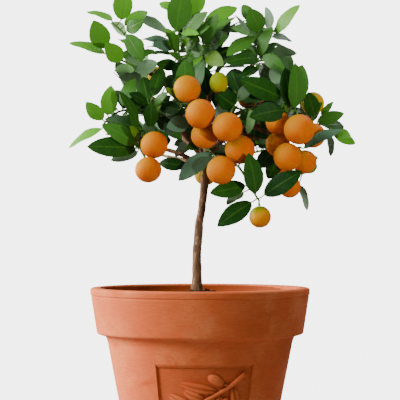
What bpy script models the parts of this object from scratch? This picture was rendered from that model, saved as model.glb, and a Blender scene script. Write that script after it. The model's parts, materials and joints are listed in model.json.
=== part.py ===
# Potted orange tree: a small citrus with a bare stem and a round crown, in a turned terracotta pot.
# Metres, +Z up. The origin is the middle of the pot's underside, and the front of the pot faces -Y.

import itertools
import math
import random
from collections import namedtuple

import bmesh
import bpy
from mathutils import Matrix, Quaternion, Vector
from mathutils.bvhtree import BVHTree

MM = 0.001
GAP = 0.3            # mm left between two pieces that touch

# Where a viewer stands in front of the tree, in mm from the origin.
EYE_AWAY = 2400.0
EYE_HIGH = 305.45

# Pot, in mm
POT_HIGH = 210.0
RIM_R = 120.0
LIP_WIDE = 13.0
COLLAR_LOW_R = 112.7
COLLAR_LOW = 160.0
BODY_TOP_R = 100.9
BODY_TOP = 151.5
FOOT_R = 72.0
FLOOR_THICK = 12.0
WALL_THICK = 9.0
POT_STEPS = 36
DRAIN_R = 7.0
DRAIN_OUT = 35.0
DRAINS = 3

# Sunk panel on the pot's front, in mm; its sides lie on planes through the pot's axis.
PANEL_DEEP = 3.0
PANEL_PROUD = 10.0   # how far its cutter stands out of the body
PANEL_STEPS = 9
PANEL_TOP = 132.5
PANEL_LOW = 28.0
PANEL_LEFT = -29.1   # degrees round from the front
PANEL_RIGHT = 35.8

# Soil, in mm
SOIL_MOUND = 207.6
SOIL_EDGE = 196.0

# Stem and its foot in the soil, in mm
STEM_X = -3.5
STEM_FOOT = 150.0
STEM_FOOT_R = 6.6

# Twigs, blades and stalks, in mm
TWIG_R = 1.5
TWIG_TIP_R = 1.0
TWIG_START = 4.0     # length of a twig's straight start, in line with its branch
TWIG_END = 1.5       # bare length at a twig's end
BLADE_THICK = 1.3
PETIOLE_R = 0.75
PETIOLE_LEAST = 5.0
LEAF_LONG = (37.0, 53.0)
LEAF_WIDE = 0.46     # of the length
LEAF_MOST = 60.0
LEAF_SMALL = 30.0    # a shorter leaf has fewer rings
STALK_R = 0.9
CALYX_R = 2.7
CALYX_THICK = 2.0
FRUIT_TOP = 0.975    # height of the flat under the calyx, as a share of the half height

# Rings of a blade, as shares of its length, and its form
FRONT_RINGS = (0.17, 0.46, 0.8)
BACK_RINGS = (0.24, 0.66)
FRONT_ARCH = 0.07    # rise of the middle, as a share of the length
BACK_ARCH = (0.05, 0.11)
FRONT_FOLD = 14.0    # degrees that each half stands up from flat
BACK_FOLD = (8.0, 20.0)

# Leaves by rule
SEED = 11
LEAF_AROUND = 137.5  # degrees from one leaf to the next round the twig
LEAF_ASIDE = 75.0    # degrees further at each new attempt
ATTEMPTS = 5
PETIOLE_LONG = (6.0, 9.0)
LEAF_LEAN = (0.35, 0.9)   # share of the twig's own direction in the leaf's
LEAF_LIFT = (-0.1, 0.5)
OUTWARD = 4.0        # how much further out, per metre from the axis, a blade's upper side turns

# Growing: room kept round each blade, and the ways in which a leaf is bent to find it
CLEAR = 0.7          # mm
TRIES_MOST = 500
SIZES = (1.0, 0.9, 0.8)
TURNS = (0, 14, -14, 28, -28)           # degrees about its length
SWINGS = (0, 7, -7, 14, -14)            # degrees across the view
PUSHES = (0, -6, 6, -12, 12, -19, 19, -27, 27)   # mm deeper at the tip
LIFTS = (0, 4, 9)                       # mm more stalk


def seen(x, y, z):
    """The point at depth y that shows at x, z, in mm, on the upright plane through the pot's axis."""
    scale = (EYE_AWAY + y) / EYE_AWAY
    return Vector((x * scale, y, EYE_HIGH + (z - EYE_HIGH) * scale)) * MM


# Objects, materials and joining

def new_collection(name):
    made = bpy.data.collections.new(name)
    bpy.context.scene.collection.children.link(made)
    return made


def new_material(name, colour, roughness):
    made = bpy.data.materials.new(name)
    made.use_nodes = True
    shader = made.node_tree.nodes["Principled BSDF"]
    shader.inputs["Base Color"].default_value = (*colour, 1.0)
    shader.inputs["Roughness"].default_value = roughness
    shader.inputs["Metallic"].default_value = 0.0
    return made


def new_object(name, mesh, where, material=None):
    made = bpy.data.objects.new(name, mesh)
    where.objects.link(made)
    if material:
        mesh.materials.clear()
        mesh.materials.append(material)
    return made


def mesh_from(points, faces):
    mesh = bpy.data.meshes.new("piece")
    mesh.from_pydata(points, [], faces)
    mesh.validate()
    return mesh


def evaluated_mesh(item):
    graph = bpy.context.evaluated_depsgraph_get()
    return bpy.data.meshes.new_from_object(item.evaluated_get(graph))


def apply_modifiers(item):
    item.data = evaluated_mesh(item)
    item.modifiers.clear()


def round_shading(item, angle=math.radians(35)):
    item.data.shade_smooth()
    item.data.set_sharp_from_angle(angle=angle)


def turned(name, profile, steps, where, material=None):
    """A turned solid: the profile, in mm, runs over the top and down the outer side."""
    mesh = bpy.data.meshes.new(name)
    edges = [(i, i + 1) for i in range(len(profile) - 1)]
    mesh.from_pydata([(r * MM, 0, z * MM) for r, z in profile], edges, [])
    made = new_object(name, mesh, where, material)
    screw = made.modifiers.new("turn", "SCREW")
    screw.steps = steps
    screw.render_steps = steps
    screw.use_merge_vertices = True
    screw.merge_threshold = 0.00001
    return made


def tube_mesh(points, radii, resolution):
    """A closed round rod through the points, in metres; its caps are welded on."""
    curve = bpy.data.curves.new("rod", "CURVE")
    curve.dimensions = "3D"
    curve.bevel_depth = 1.0
    curve.bevel_resolution = resolution
    curve.use_fill_caps = True
    spline = curve.splines.new("POLY")
    spline.points.add(len(points) - 1)
    for knot, point, radius in zip(spline.points, points, radii):
        knot.co = (*point, 1.0)
        knot.radius = radius
    rod = new_object("rod", curve, cutters)
    mesh = evaluated_mesh(rod)
    bpy.data.objects.remove(rod)
    bpy.data.curves.remove(curve)
    shape = bmesh.new()
    shape.from_mesh(mesh)
    bmesh.ops.remove_doubles(shape, verts=shape.verts, dist=0.000001)
    bmesh.ops.recalc_face_normals(shape, faces=shape.faces)
    shape.to_mesh(mesh)
    shape.free()
    return mesh


def join_all(body, meshes, solver="EXACT"):
    """Joins closed meshes that overlap the body into it with one union."""
    joined = new_collection("joined")
    for mesh in meshes:
        new_object("joining", mesh, joined)
    union = body.modifiers.new("union", "BOOLEAN")
    union.operation = "UNION"
    union.solver = solver
    union.operand_type = "COLLECTION"
    union.collection = joined
    apply_modifiers(body)
    for item in list(joined.objects):
        bpy.data.objects.remove(item)
    bpy.data.collections.remove(joined)


def cut(body, cutter):
    cutter.hide_render = True
    cutter.display_type = "WIRE"
    hole = body.modifiers.new("cut", "BOOLEAN")
    hole.operation = "DIFFERENCE"
    hole.solver = "EXACT"
    hole.object = cutter


for old in list(bpy.data.objects):
    bpy.data.objects.remove(old)
parts = new_collection("potted_orange_tree")
cutters = new_collection("cutters")

TERRACOTTA = new_material("terracotta", (0.60, 0.27, 0.13), 0.85)
SOIL = new_material("soil", (0.06, 0.04, 0.025), 0.95)
BARK = new_material("bark", (0.20, 0.12, 0.07), 0.85)
LEAF = new_material("leaf", (0.07, 0.20, 0.03), 0.40)
FRUIT = new_material("fruit", (0.95, 0.38, 0.02), 0.40)


# Pot: a turned body with a collar and a rounded lip

def body_radius(z):
    """Outer radius of the pot's body at a height, in mm."""
    return FOOT_R + (BODY_TOP_R - FOOT_R) * z / BODY_TOP


INNER_WALL = [
    (body_radius(FLOOR_THICK) - WALL_THICK, FLOOR_THICK),
    (BODY_TOP_R - WALL_THICK, BODY_TOP),
    (RIM_R - LIP_WIDE, POT_HIGH - 6),
]
LIP = [
    (RIM_R - LIP_WIDE + 0.8, POT_HIGH - 2),
    (RIM_R - LIP_WIDE + 3, POT_HIGH),
    (RIM_R - 3, POT_HIGH),
    (RIM_R - 0.6, POT_HIGH - 1.1),
    (RIM_R, POT_HIGH - 3.4),
]
COLLAR = [
    (RIM_R - 0.2, POT_HIGH - 7.8),
    (RIM_R - 1.1, POT_HIGH - 9),
    (COLLAR_LOW_R, COLLAR_LOW + 3),
    (COLLAR_LOW_R - 1.2, COLLAR_LOW + 0.8),
    (COLLAR_LOW_R - 4.1, COLLAR_LOW - 1),
    (COLLAR_LOW_R - 9.4, COLLAR_LOW - 4),
]
BODY = [
    (BODY_TOP_R, BODY_TOP),
    (FOOT_R + 0.6, 3),
    (FOOT_R - 2, 0),
]

pot_profile = [(0, FLOOR_THICK)] + INNER_WALL + LIP + COLLAR + BODY + [(0, 0)]
pot = turned("pot", pot_profile, POT_STEPS, parts, TERRACOTTA)


def panel_cutter():
    """A curved slab over the panel, whose inner side lies PANEL_DEEP under the body's surface."""
    shape = bmesh.new()
    start = math.radians(PANEL_LEFT)
    corners = []
    for z in (PANEL_LOW, PANEL_TOP):
        inner = body_radius(z) - PANEL_DEEP
        outer = body_radius(z) + PANEL_PROUD
        row = [inner, outer] if z == PANEL_LOW else [outer, inner]
        for radius in row:
            corners.append(shape.verts.new((
                radius * math.sin(start) * MM, -radius * math.cos(start) * MM, z * MM)))
    face = shape.faces.new(corners)
    bmesh.ops.spin(
        shape, geom=[face] + list(face.edges) + list(face.verts), cent=(0, 0, 0), axis=(0, 0, 1),
        angle=math.radians(PANEL_RIGHT - PANEL_LEFT), steps=PANEL_STEPS, use_duplicate=False)
    bmesh.ops.recalc_face_normals(shape, faces=shape.faces)
    mesh = bpy.data.meshes.new("panel_cutter")
    shape.to_mesh(mesh)
    shape.free()
    return new_object("panel_cutter", mesh, cutters)


def round_cutter(name, x, y, low, high, radius, sides):
    shape = bmesh.new()
    bmesh.ops.create_cone(
        shape, cap_ends=True, segments=sides, radius1=radius * MM, radius2=radius * MM,
        depth=(high - low) * MM)
    bmesh.ops.translate(shape, verts=shape.verts, vec=Vector((x, y, (high + low) / 2)) * MM)
    mesh = bpy.data.meshes.new(name)
    shape.to_mesh(mesh)
    shape.free()
    return new_object(name, mesh, cutters)


cut(pot, panel_cutter())
for number in range(DRAINS):
    around = math.radians(90 + 360 / DRAINS * number)
    cut(pot, round_cutter(
        f"drain_cutter_{number + 1}", DRAIN_OUT * math.cos(around), DRAIN_OUT * math.sin(around),
        -5, FLOOR_THICK + 5, DRAIN_R, 12))
apply_modifiers(pot)


# Olive sprig in relief on the panel: places are mm across the front and mm up

def on_panel(x, z, lift):
    """A point above the panel's sunk ground, in metres."""
    ground = body_radius(z) - PANEL_DEEP
    around = math.asin(x / ground)
    radius = ground + lift
    return Vector((radius * math.sin(around), -radius * math.cos(around), z)) * MM


SPRIG_TWIG = [(47, 124), (38, 113.5), (26, 105), (8, 97), (-9, 86), (-24, 67), (-33, 44)]
SPRIG_TWIG_R = 1.7
SPRIG_SUNK = -1.0
# Each leaf: base x, z, tip x, z, width
SPRIG_LEAVES = [
    (31, 109.5, 9, 120.5, 8),
    (19, 103, -15, 113, 10),
    (1, 94, -29, 104, 9),
    (35, 109, 31, 84, 10),
    (21, 101, 12, 76, 10),
    (-16, 79, -41, 84, 9),
    (-4, 89, -10, 64, 9),
    (-27, 58, -9, 46, 9),
    (-33, 45, -36, 32, 7),
]
# Each olive: x, z, length, width, lean in degrees
SPRIG_OLIVES = [(27, 92, 12, 9, 15), (-17, 66, 12, 9, 5)]


def relief_leaf(x0, z0, x1, z1, width):
    """A raised leaf with a ridge: four-sided rings between two points."""
    across = Vector((z0 - z1, x1 - x0)).normalized()
    rows = [(0.0, 0.12, 0.6), (0.3, 0.95, 2.2), (0.68, 0.8, 2.2)]
    points = []
    for along, share, ridge in rows:
        x = x0 + (x1 - x0) * along
        z = z0 + (z1 - z0) * along
        half = width / 2 * share
        points.append(on_panel(x + across.x * half, z + across.y * half, 0.2))
        points.append(on_panel(x, z, ridge))
        points.append(on_panel(x - across.x * half, z - across.y * half, 0.2))
        points.append(on_panel(x, z, SPRIG_SUNK))
    points.append(on_panel(x1, z1, 0.3))
    return closed_loft(points, 4, len(rows), pointed=True)


def closed_loft(points, sides, rings, pointed):
    """Rings of points, one after another, closed by a cap and by a cap or a last single point."""
    faces = [tuple(range(sides))[::-1]]
    for ring in range(rings - 1):
        for side in range(sides):
            a = ring * sides + side
            b = ring * sides + (side + 1) % sides
            faces.append((a, b, b + sides))
            faces.append((a, b + sides, a + sides))
    last = (rings - 1) * sides
    if pointed:
        for side in range(sides):
            faces.append((last + side, last + (side + 1) % sides, rings * sides))
    else:
        faces.append(tuple(range(last, last + sides)))
    return points, faces


def outward(points, faces):
    """A mesh of the faces, all turned outwards."""
    mesh = mesh_from(points, faces)
    shape = bmesh.new()
    shape.from_mesh(mesh)
    bmesh.ops.recalc_face_normals(shape, faces=shape.faces)
    shape.to_mesh(mesh)
    shape.free()
    return mesh


def olive(x, z, length, width, lean):
    shape = bmesh.new()
    bmesh.ops.create_uvsphere(shape, u_segments=6, v_segments=4, radius=0.5 * MM)
    place = on_panel(x, z, 0.8)
    turn = Matrix.Rotation(math.asin(x / body_radius(z)), 4, "Z") @ Matrix.Rotation(math.radians(lean), 4, "Y")
    size = Matrix.Diagonal((width, width * 0.75, length, 1))
    bmesh.ops.transform(shape, matrix=Matrix.Translation(place) @ turn @ size, verts=shape.verts)
    mesh = bpy.data.meshes.new("olive")
    shape.to_mesh(mesh)
    shape.free()
    return mesh


sprig = [tube_mesh(
    [on_panel(x, z, 0.6) for x, z in SPRIG_TWIG],
    [SPRIG_TWIG_R * MM * (1 - 0.04 * i) for i in range(len(SPRIG_TWIG))], 1)]
sprig += [outward(*relief_leaf(*row)) for row in SPRIG_LEAVES]
sprig += [olive(*row) for row in SPRIG_OLIVES]
join_all(pot, sprig)
round_shading(pot)


# Soil: fills the pot, with a plain hole for the stem's foot

def inner_radius(z):
    """Radius of the pot's inner wall at a height, in mm."""
    for (r0, z0), (r1, z1) in zip(INNER_WALL, INNER_WALL[1:]):
        if z <= z1:
            return r0 + (r1 - r0) * (z - z0) / (z1 - z0)
    return INNER_WALL[-1][0]


soil_low = FLOOR_THICK + GAP
soil_profile = [
    (0, SOIL_MOUND),
    (13, SOIL_MOUND - 0.4),
    (26, SOIL_MOUND - 3.6),
    (62, SOIL_MOUND - 8.4),
    (inner_radius(SOIL_EDGE) - GAP * 1.1, SOIL_EDGE),
    (inner_radius(BODY_TOP) - GAP * 1.1, BODY_TOP),
    (inner_radius(soil_low) - GAP * 1.1, soil_low),
    (0, soil_low),
]
soil = turned("soil", soil_profile, POT_STEPS // 2, parts, SOIL)
cut(soil, round_cutter(
    "stem_hole_cutter", STEM_X, 0, STEM_FOOT - GAP, SOIL_MOUND + 10, STEM_FOOT_R + 1.5 * GAP, 20))
apply_modifiers(soil)
round_shading(soil)


# Trunk: the stem and its branches are one grown piece.
# Each row is x, depth, z as seen from the front and the radius there, in mm.

STEM = [
    (STEM_X, 0, STEM_FOOT, STEM_FOOT_R), (STEM_X, 0, 208.6, STEM_FOOT_R), (-3.4, 0, 213, 5.9),
    (-3.4, 0, 230, 5.2), (-3.2, 0, 251, 4.9), (-2, 0, 265, 4.8), (-0.8, 1, 280, 4.4), (1.2, 1, 292, 4.3),
    (3, 0, 305, 4.2), (4.6, 0, 320, 4.6), (5.4, 0, 333, 4.6), (5.4, 0, 346, 5.0), (4.6, 1, 360, 4.3),
]
BRANCHES = {
    "crown_top": [(4.4, 1, 356, 4.2), (0, 4, 380, 3.6), (-6, 2, 410, 3.0), (-14, -2, 436, 2.4),
                  (-20, -8, 455, 1.8)],
    "left_high": [(-3, 3, 395, 2.8), (-22, -8, 415, 2.5), (-40, -17, 433, 2.4), (-53, -21, 446, 2.0),
                  (-60, -23, 452, 1.7)],
    "left_upper": [(-45, -18, 438, 2.0), (-54, -27, 443, 1.8), (-62, -32, 447, 1.7)],
    "crown_top_right": [(4, 1, 366, 3.0), (10, 1, 395, 2.6), (9, -4, 425, 2.2), (6, -8, 440, 1.7)],
    "right_high": [(5, 2, 358, 3.6), (24, 6, 392, 3.0), (42, 4, 424, 2.5), (54, -2, 448, 2.0),
                   (60, -6, 460, 1.7)],
    "right_upper": [(46, 2, 432, 2.0), (53, -12, 445, 1.8), (58, -22, 452, 1.7)],
    "right_mid": [(5, -1, 351, 3.6), (28, -14, 374, 3.1), (56, -26, 386, 2.6), (74, -34, 390, 2.1),
                  (82, -38, 392, 1.7)],
    "right_tip": [(56, -26, 386, 2.2), (75, -15, 379, 1.9), (90, -10, 377, 1.7)],
    "right_low": [(42, -20, 380, 2.3), (62, -24, 372, 2.0), (80, -26, 366, 1.7)],
    "hanging": [(5, -2, 346, 3.0), (20, -22, 352, 2.6), (33, -39, 348, 2.1), (40, -46, 343, 1.7)],
    "front_right": [(5, -2, 352, 3.0), (10, -20, 367, 2.6), (16, -34, 380, 2.1), (22, -42, 392, 1.7)],
    "front_left": [(9, -18, 366, 2.2), (0, -29, 384, 1.9), (-8, -38, 400, 1.7)],
    "front_low": [(5, -2, 348, 2.4), (2, -17, 357, 2.0), (1, -28, 362, 1.7)],
    "left_low": [(4, 0, 340, 3.0), (-14, -14, 352, 2.5), (-35, -28, 360, 2.1), (-55, -40, 362, 1.7)],
    "left_inner": [(-26, -12, 384, 2.0), (-32, -22, 391, 1.8), (-37, -28, 395, 1.7)],
    "left_tip": [(4, 0, 352, 3.2), (-20, -8, 380, 2.7), (-40, -20, 394, 2.2), (-58, -30, 400, 1.7)],
    "back_top": [(4, 2, 364, 2.8), (6, 26, 394, 2.3), (8, 46, 420, 1.7)],
    "back_left": [(4, 2, 356, 2.8), (-22, 28, 376, 2.3), (-44, 46, 390, 1.7)],
    "back_right": [(6, 2, 356, 2.8), (32, 30, 378, 2.3), (56, 48, 392, 1.7)],
    "back_low": [(5, 2, 346, 2.8), (8, 24, 360, 2.3), (8, 42, 367, 1.7)],
    "left_back": [(-3, 4, 392, 2.4), (-30, 15, 406, 2.0), (-54, 18, 418, 1.7)],
    "right_back": [(24, 6, 392, 2.3), (50, 22, 404, 2.0), (72, 28, 416, 1.7)],
    "top_back": [(-5, 3, 408, 2.3), (0, 20, 434, 2.0), (4, 30, 450, 1.7)],
    "low_left_back": [(4, 1, 341, 2.6), (-18, 25, 349, 2.1), (-36, 42, 353, 1.7)],
    "low_right_back": [(6, 1, 343, 2.6), (30, 28, 351, 2.1), (50, 42, 355, 1.7)],
}


def rod_of(rows, resolution):
    return tube_mesh([seen(x, y, z) for x, y, z, r in rows], [r * MM for x, y, z, r in rows], resolution)


trunk = new_object("trunk", rod_of(STEM, 3), parts, BARK)
join_all(trunk, [rod_of(rows, 1 if rows[0][3] > 2.9 else 0) for rows in BRANCHES.values()])
round_shading(trunk)


# Shoots: green twigs that go on from the branch of the same name.
# Each route is x, depth, z as seen from the front, in mm. The first goes on from the branch's end, and the
# others leave it.

SHOOTS = {
    "left_high": [[(-67, -24, 459), (-73, -26, 470), (-79, -28, 482), (-88, -31, 492), (-96, -34, 499)]],
    "left_upper": [[(-75, -38, 453), (-90, -42, 460), (-102, -44, 466)]],
    "crown_top": [[(-23, -12, 466), (-24, -17, 480), (-22, -22, 494), (-19, -26, 506)]],
    "crown_top_right": [[(4, -12, 455), (3, -16, 470), (4, -20, 484), (5, -24, 496)]],
    "right_high": [[(64, -10, 470), (70, -14, 482), (75, -17, 491)],
                   [(68, -12.5, 478), (65, -16, 487), (60, -18, 496)]],
    "right_upper": [[(64, -28, 457), (71, -31, 457), (77, -33, 452)]],
    "right_mid": [[(90, -44, 398), (98, -50, 403), (107, -54, 402)],
                  [(95, -48, 401), (92, -52, 408), (91, -54, 415)]],
    "right_tip": [[(104, -8, 380), (118, -8, 386), (132, -12, 388), (146, -16, 381)],
                  [(119, -8, 386), (121, -16, 390), (123, -24, 395)]],
    "right_low": [[(90, -27, 360), (100, -29, 351), (108, -32, 342), (112, -34, 333)],
                  [(94, -28, 357), (104, -44, 362), (110, -56, 363)]],
    "hanging": [[(50, -50, 330), (56, -52, 318), (61, -54, 310), (65, -55, 304)]],
    "front_right": [[(30, -48, 402), (38, -52, 410), (44, -54, 419)],
                    [(36, -51, 408), (46, -54, 404), (54, -56, 406)]],
    "front_left": [[(-14, -42, 408), (-22, -46, 412), (-30, -48, 415)]],
    "front_low": [[(5, -38, 361), (12, -44, 359)]],
    "left_low": [[(-62, -42, 362), (-68, -44, 364), (-73, -45, 368)],
                 [(-67, -44, 363.5), (-66, -45, 374), (-64, -46, 383)],
                 [(-60, -41.5, 362), (-54, -40, 350), (-48, -40, 345)]],
    "left_inner": [[(-44, -34, 399), (-52, -38, 404), (-56, -40, 411)]],
    "left_tip": [[(-72, -36, 404), (-88, -40, 402), (-100, -42, 394), (-106, -43, 387)]],
    "back_top": [[(9, 58, 438), (10, 70, 456), (8, 84, 470)]],
    "back_left": [[(-56, 58, 400), (-68, 72, 408), (-76, 90, 414)]],
    "back_right": [[(70, 60, 402), (84, 72, 408), (96, 86, 412)]],
    "back_low": [[(8, 62, 373), (6, 84, 377), (2, 104, 377)],
                 [(8, 52, 370), (7, 42, 361), (7, 33, 354)]],
    "left_back": [[(-66, 22, 425), (-76, 28, 430)]],
    "right_back": [[(86, 34, 424), (98, 42, 429)]],
    "top_back": [[(8, 38, 468), (10, 44, 484), (6, 52, 498)]],
    "low_left_back": [[(-50, 54, 357), (-62, 68, 361), (-70, 84, 363)]],
    "low_right_back": [[(66, 54, 359), (82, 66, 361), (94, 78, 363)]],
}

# Leaves that show from the front, each as seen there, in mm: where the blade starts and where its tip is (x, z),
# the width that shows, which side faces the viewer, and how much deeper the tip lies than the start.
UPPER = 1
UNDER = -1
LEAVES = {
    "left_high": [
        (-96, 501, -124, 512, 8, UPPER, 22), (-86, 502, -82, 537, 20, UPPER, -14),
        (-82, 496, -57, 512, 13, UPPER, 18), (-80, 490, -62, 501, 14, UPPER, -24),
        (-80, 486, -97, 499, 10, UNDER, 20), (-79, 486, -63, 458, 17, UPPER, -14),
        (-76, 474, -89, 482, 8, UPPER, 26),
    ],
    "left_upper": [
        (-104, 465, -143, 478, 10, UPPER, 12), (-104, 471, -116, 501, 21, UPPER, -20),
        (-86, 457, -103, 476, 18, UPPER, -26), (-72, 449, -93, 447, 9, UNDER, 20),
        (-70, 446, -46, 456, 14, UNDER, -14),
    ],
    "crown_top": [
        (-26, 490, -18, 537, 25, UPPER, -12), (-16, 505, 3, 536, 22, UPPER, 8),
        (-20, 482, 8, 511, 14, UPPER, -18), (-33, 487, -73, 507, 9, UNDER, 6),
        (-32, 477, -63, 482, 8, UPPER, 14), (-30, 470, -60, 473, 6, UPPER, 22),
        (-30, 464, -57, 466, 5, UPPER, 10), (-28, 511, -44, 522, 10, UPPER, 18),
        (-18, 480, 10, 496, 13, UPPER, -26), (-15, 474, 5, 470, 9, UNDER, -16),
        (-24, 452, -48, 454, 12, UPPER, -14), (-15, 464, -4, 485, 9, UPPER, -24),
        (-24, 468, -32, 488, 8, UPPER, -26),
    ],
    "crown_top_right": [
        (5, 498, 41, 516, 15, UPPER, 6), (3, 476, 19, 508, 14, UPPER, -12),
        (12, 472, 32, 489, 12, UPPER, 16), (14, 465, 27, 484, 9, UPPER, 24),
        (6, 465, 25, 453, 16, UPPER, -24), (0, 458, -12, 444, 10, UPPER, -22),
    ],
    "right_high": [
        (65, 489, 55, 514, 20, UPPER, -16), (59, 499, 46, 519, 13, UPPER, 14),
        (76, 490, 72, 516, 9, UNDER, 16), (79, 488, 105, 520, 12, UPPER, -10),
        (80, 490, 96, 498, 7, UNDER, 20), (79, 483, 101, 480, 8, UPPER, 22),
        (76, 467, 106, 466, 10, UNDER, -10), (58, 489, 30, 490, 7, UPPER, 18),
        (60, 484, 29, 463, 14, UPPER, -20), (72, 474, 97, 472, 5, UPPER, 16),
    ],
    "right_upper": [
        (64, 460, 27, 456, 14, UPPER, -12), (69, 463, 92, 448, 14, UPPER, -14),
        (63, 450, 45, 442, 10, UPPER, -18), (77, 448, 87, 432, 11, UNDER, -14),
    ],
    "right_mid": [
        (99, 407, 93, 450, 18, UPPER, -14), (104, 406, 103, 453, 18, UPPER, 6),
        (88, 418, 44, 437, 21, UPPER, -10), (93, 404, 55, 396, 21, UPPER, -18),
    ],
    "right_tip": [
        (125, 397, 118, 423, 16, UPPER, -12), (128, 391, 157, 400, 13, UPPER, -10),
        (134, 387, 158, 386, 12, UPPER, 22), (134, 396, 145, 414, 7, UPPER, 14),
        (149, 380, 164, 375, 10, UPPER, -20), (146, 377, 170, 367, 11, UPPER, 8),
        (140, 376, 144, 353, 7, UNDER, -14),
    ],
    "right_low": [
        (113, 362, 155, 383, 10, UPPER, -4), (108, 322, 118, 294, 7, UNDER, -8),
        (115, 335, 129, 345, 11, UPPER, -22), (112, 348, 130, 353, 9, UPPER, -14),
        (82, 360, 62, 341, 17, UPPER, 6), (86, 352, 74, 328, 15, UPPER, 10),
        (80, 367, 60, 369, 6, UPPER, -10),
    ],
    "hanging": [
        (49.5, 321, 11, 313, 17, UPPER, -12), (56, 303, 19, 277, 19, UPPER, -16),
        (61, 313, 53, 356, 20, UPPER, -26), (70, 311, 111, 337, 20, UPPER, -14),
        (47, 314, 29, 301, 9, UNDER, 18),
    ],
    "front_right": [
        (38, 408, 20, 421, 19, UPPER, -10), (55, 404, 53, 377, 9, UNDER, -8),
        (43, 424, 34, 446, 14, UPPER, 12), (48, 418, 64, 430, 14, UPPER, 8),
    ],
    "front_left": [
        (-22, 404, -47, 409, 13, UPPER, 8), (-12, 391, -36, 385, 17, UPPER, -16),
        (-26, 416, -37, 428, 8, UPPER, -16),
    ],
    "front_low": [
        (13, 357, -23.5, 327, 18, UPPER, -14), (-1, 367, -14, 362, 10, UPPER, -18),
    ],
    "left_low": [
        (-70, 361, -123, 364, 21, UPPER, -12), (-68, 366, -107, 388, 17, UPPER, -8),
        (-67, 384, -104, 394, 15, UPPER, 6), (-68, 358, -97, 349, 12, UNDER, 8),
        (-70, 368, -104, 379, 7, UPPER, 16), (-66, 370, -76, 386, 7, UPPER, -18),
        (-44, 346, -13, 343, 13, UPPER, -6),
    ],
    "left_inner": [
        (-54, 385, -53, 412, 15, UPPER, -14), (-40, 389, -20, 372, 12, UPPER, -12),
        (-50, 409, -36, 423, 8, UPPER, -12), (-57, 414, -62, 440, 17, UPPER, 10),
    ],
    "left_tip": [
        (-106, 393, -124, 412, 15, UPPER, -16), (-101, 398, -97, 430, 17, UPPER, -14),
        (-107, 383, -144, 363, 9, UPPER, 12), (-85, 408, -71, 439, 14, UPPER, 14),
        (-64, 405, -83, 414, 14, UPPER, -18), (-84, 405, -91, 423, 8, UPPER, 26),
    ],
}

# How many more leaves each shoot carries, placed by the rule below: on the front shoots they point to the back,
# and on the others they stand all round.
MORE_LEAVES = {
    "left_high": 3, "left_upper": 3, "crown_top": 4, "crown_top_right": 4, "right_high": 4,
    "right_upper": 4, "right_mid": 4, "right_tip": 4, "right_low": 5, "hanging": 1, "front_right": 5,
    "front_left": 4, "front_low": 2, "left_low": 4, "left_inner": 4, "left_tip": 4, "back_top": 12,
    "back_left": 12, "back_right": 12, "back_low": 13, "left_back": 9, "right_back": 9, "top_back": 12,
    "low_left_back": 11, "low_right_back": 11,
}

# Crown's outline as seen from the front: a rule leaf stays inside this oval, in mm.
CROWN_MIDDLE = (10, 424)
CROWN_HALF = (116, 88)

# Fruits: x, depth, z of the middle as seen from the front, width, height over width, and the shoot.
FRUITS = [
    (-14, -62, 426.5, 30, 0.97, "front_left"), (0.5, -76, 399.5, 33, 0.96, "front_left"),
    (5, -54, 376, 30, 0.96, "front_low"), (30, -84, 385, 33, 0.96, "front_right"),
    (43.5, -60, 360.5, 33, 0.95, "hanging"), (23, -75, 338, 32, 0.95, "front_low"),
    (108.5, -84, 382.5, 34, 0.95, "right_mid"), (123, -34, 376, 28, 0.96, "right_tip"),
    (85, -62, 390, 27, 0.97, "right_mid"), (95.5, -72, 352.5, 31, 0.95, "right_low"),
    (85, -46, 366, 27, 0.96, "right_low"), (114, -48, 347, 27, 0.96, "right_low"),
    (97.5, -45, 320, 25, 0.97, "right_low"), (65.5, -55, 287, 24, 1.0, "hanging"),
    (20.5, -50, 433, 20, 1.2, "front_right"), (123, -10, 411, 25, 0.97, "right_tip"),
    (-50, -70, 365.5, 30, 0.96, "left_low"), (-56.5, -77, 338.5, 29, 0.95, "left_low"),
    (52, -36, 416, 22, 0.97, "front_right"), (-47, 2, 441, 20, 0.97, "left_high"),
    (6, 19, 333, 24, 0.97, "back_low"),
    (-52, 84, 368, 28, 0.96, "back_left"), (100, 86, 384, 30, 0.95, "back_right"),
    (30, 98, 384, 31, 0.95, "back_low"), (-57, 76, 339, 27, 0.96, "low_left_back"),
    (90, 95, 348, 29, 0.95, "low_right_back"), (-14, 84, 427, 28, 0.97, "back_top"),
    (98, 58, 417, 24, 0.97, "right_back"),
]


# Growing the crown: stems, fruits and blades as plain point lists, each kept clear of the others

Grown = namedtuple("Grown", "owner kind tree low high")


def grown_solid(owner, kind, points, faces):
    """A solid to keep clear of; kind is body, twig or neck."""
    return Grown(owner, kind, BVHTree.FromPolygons(points, faces), *bounds_of(points))


def bounds_of(points):
    low = Vector([min(p[i] for p in points) for i in range(3)])
    high = Vector([max(p[i] for p in points) for i in range(3)])
    return low, high


def prism(points, radii, sides=6):
    """A rod as a chain of rings, for keeping clear of it."""
    ring_points = []
    for i, point in enumerate(points):
        along = (points[min(i + 1, len(points) - 1)] - points[max(i - 1, 0)]).normalized()
        across = along.orthogonal().normalized()
        for side in range(sides):
            turn = Quaternion(along, 2 * math.pi * side / sides)
            ring_points.append(point + turn @ across * radii[i])
    return closed_loft(ring_points, sides, len(points), pointed=False)


def ball(middle, radius, sides=12, rows=7):
    """A faceted ball, for keeping clear of it."""
    points = []
    for row in range(1, rows):
        down = math.pi * row / rows
        for side in range(sides):
            around = 2 * math.pi * side / sides
            points.append(middle + radius * Vector((
                math.sin(down) * math.cos(around), math.sin(down) * math.sin(around), math.cos(down))))
    return closed_loft(points, sides, rows - 1, pointed=False)


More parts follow.
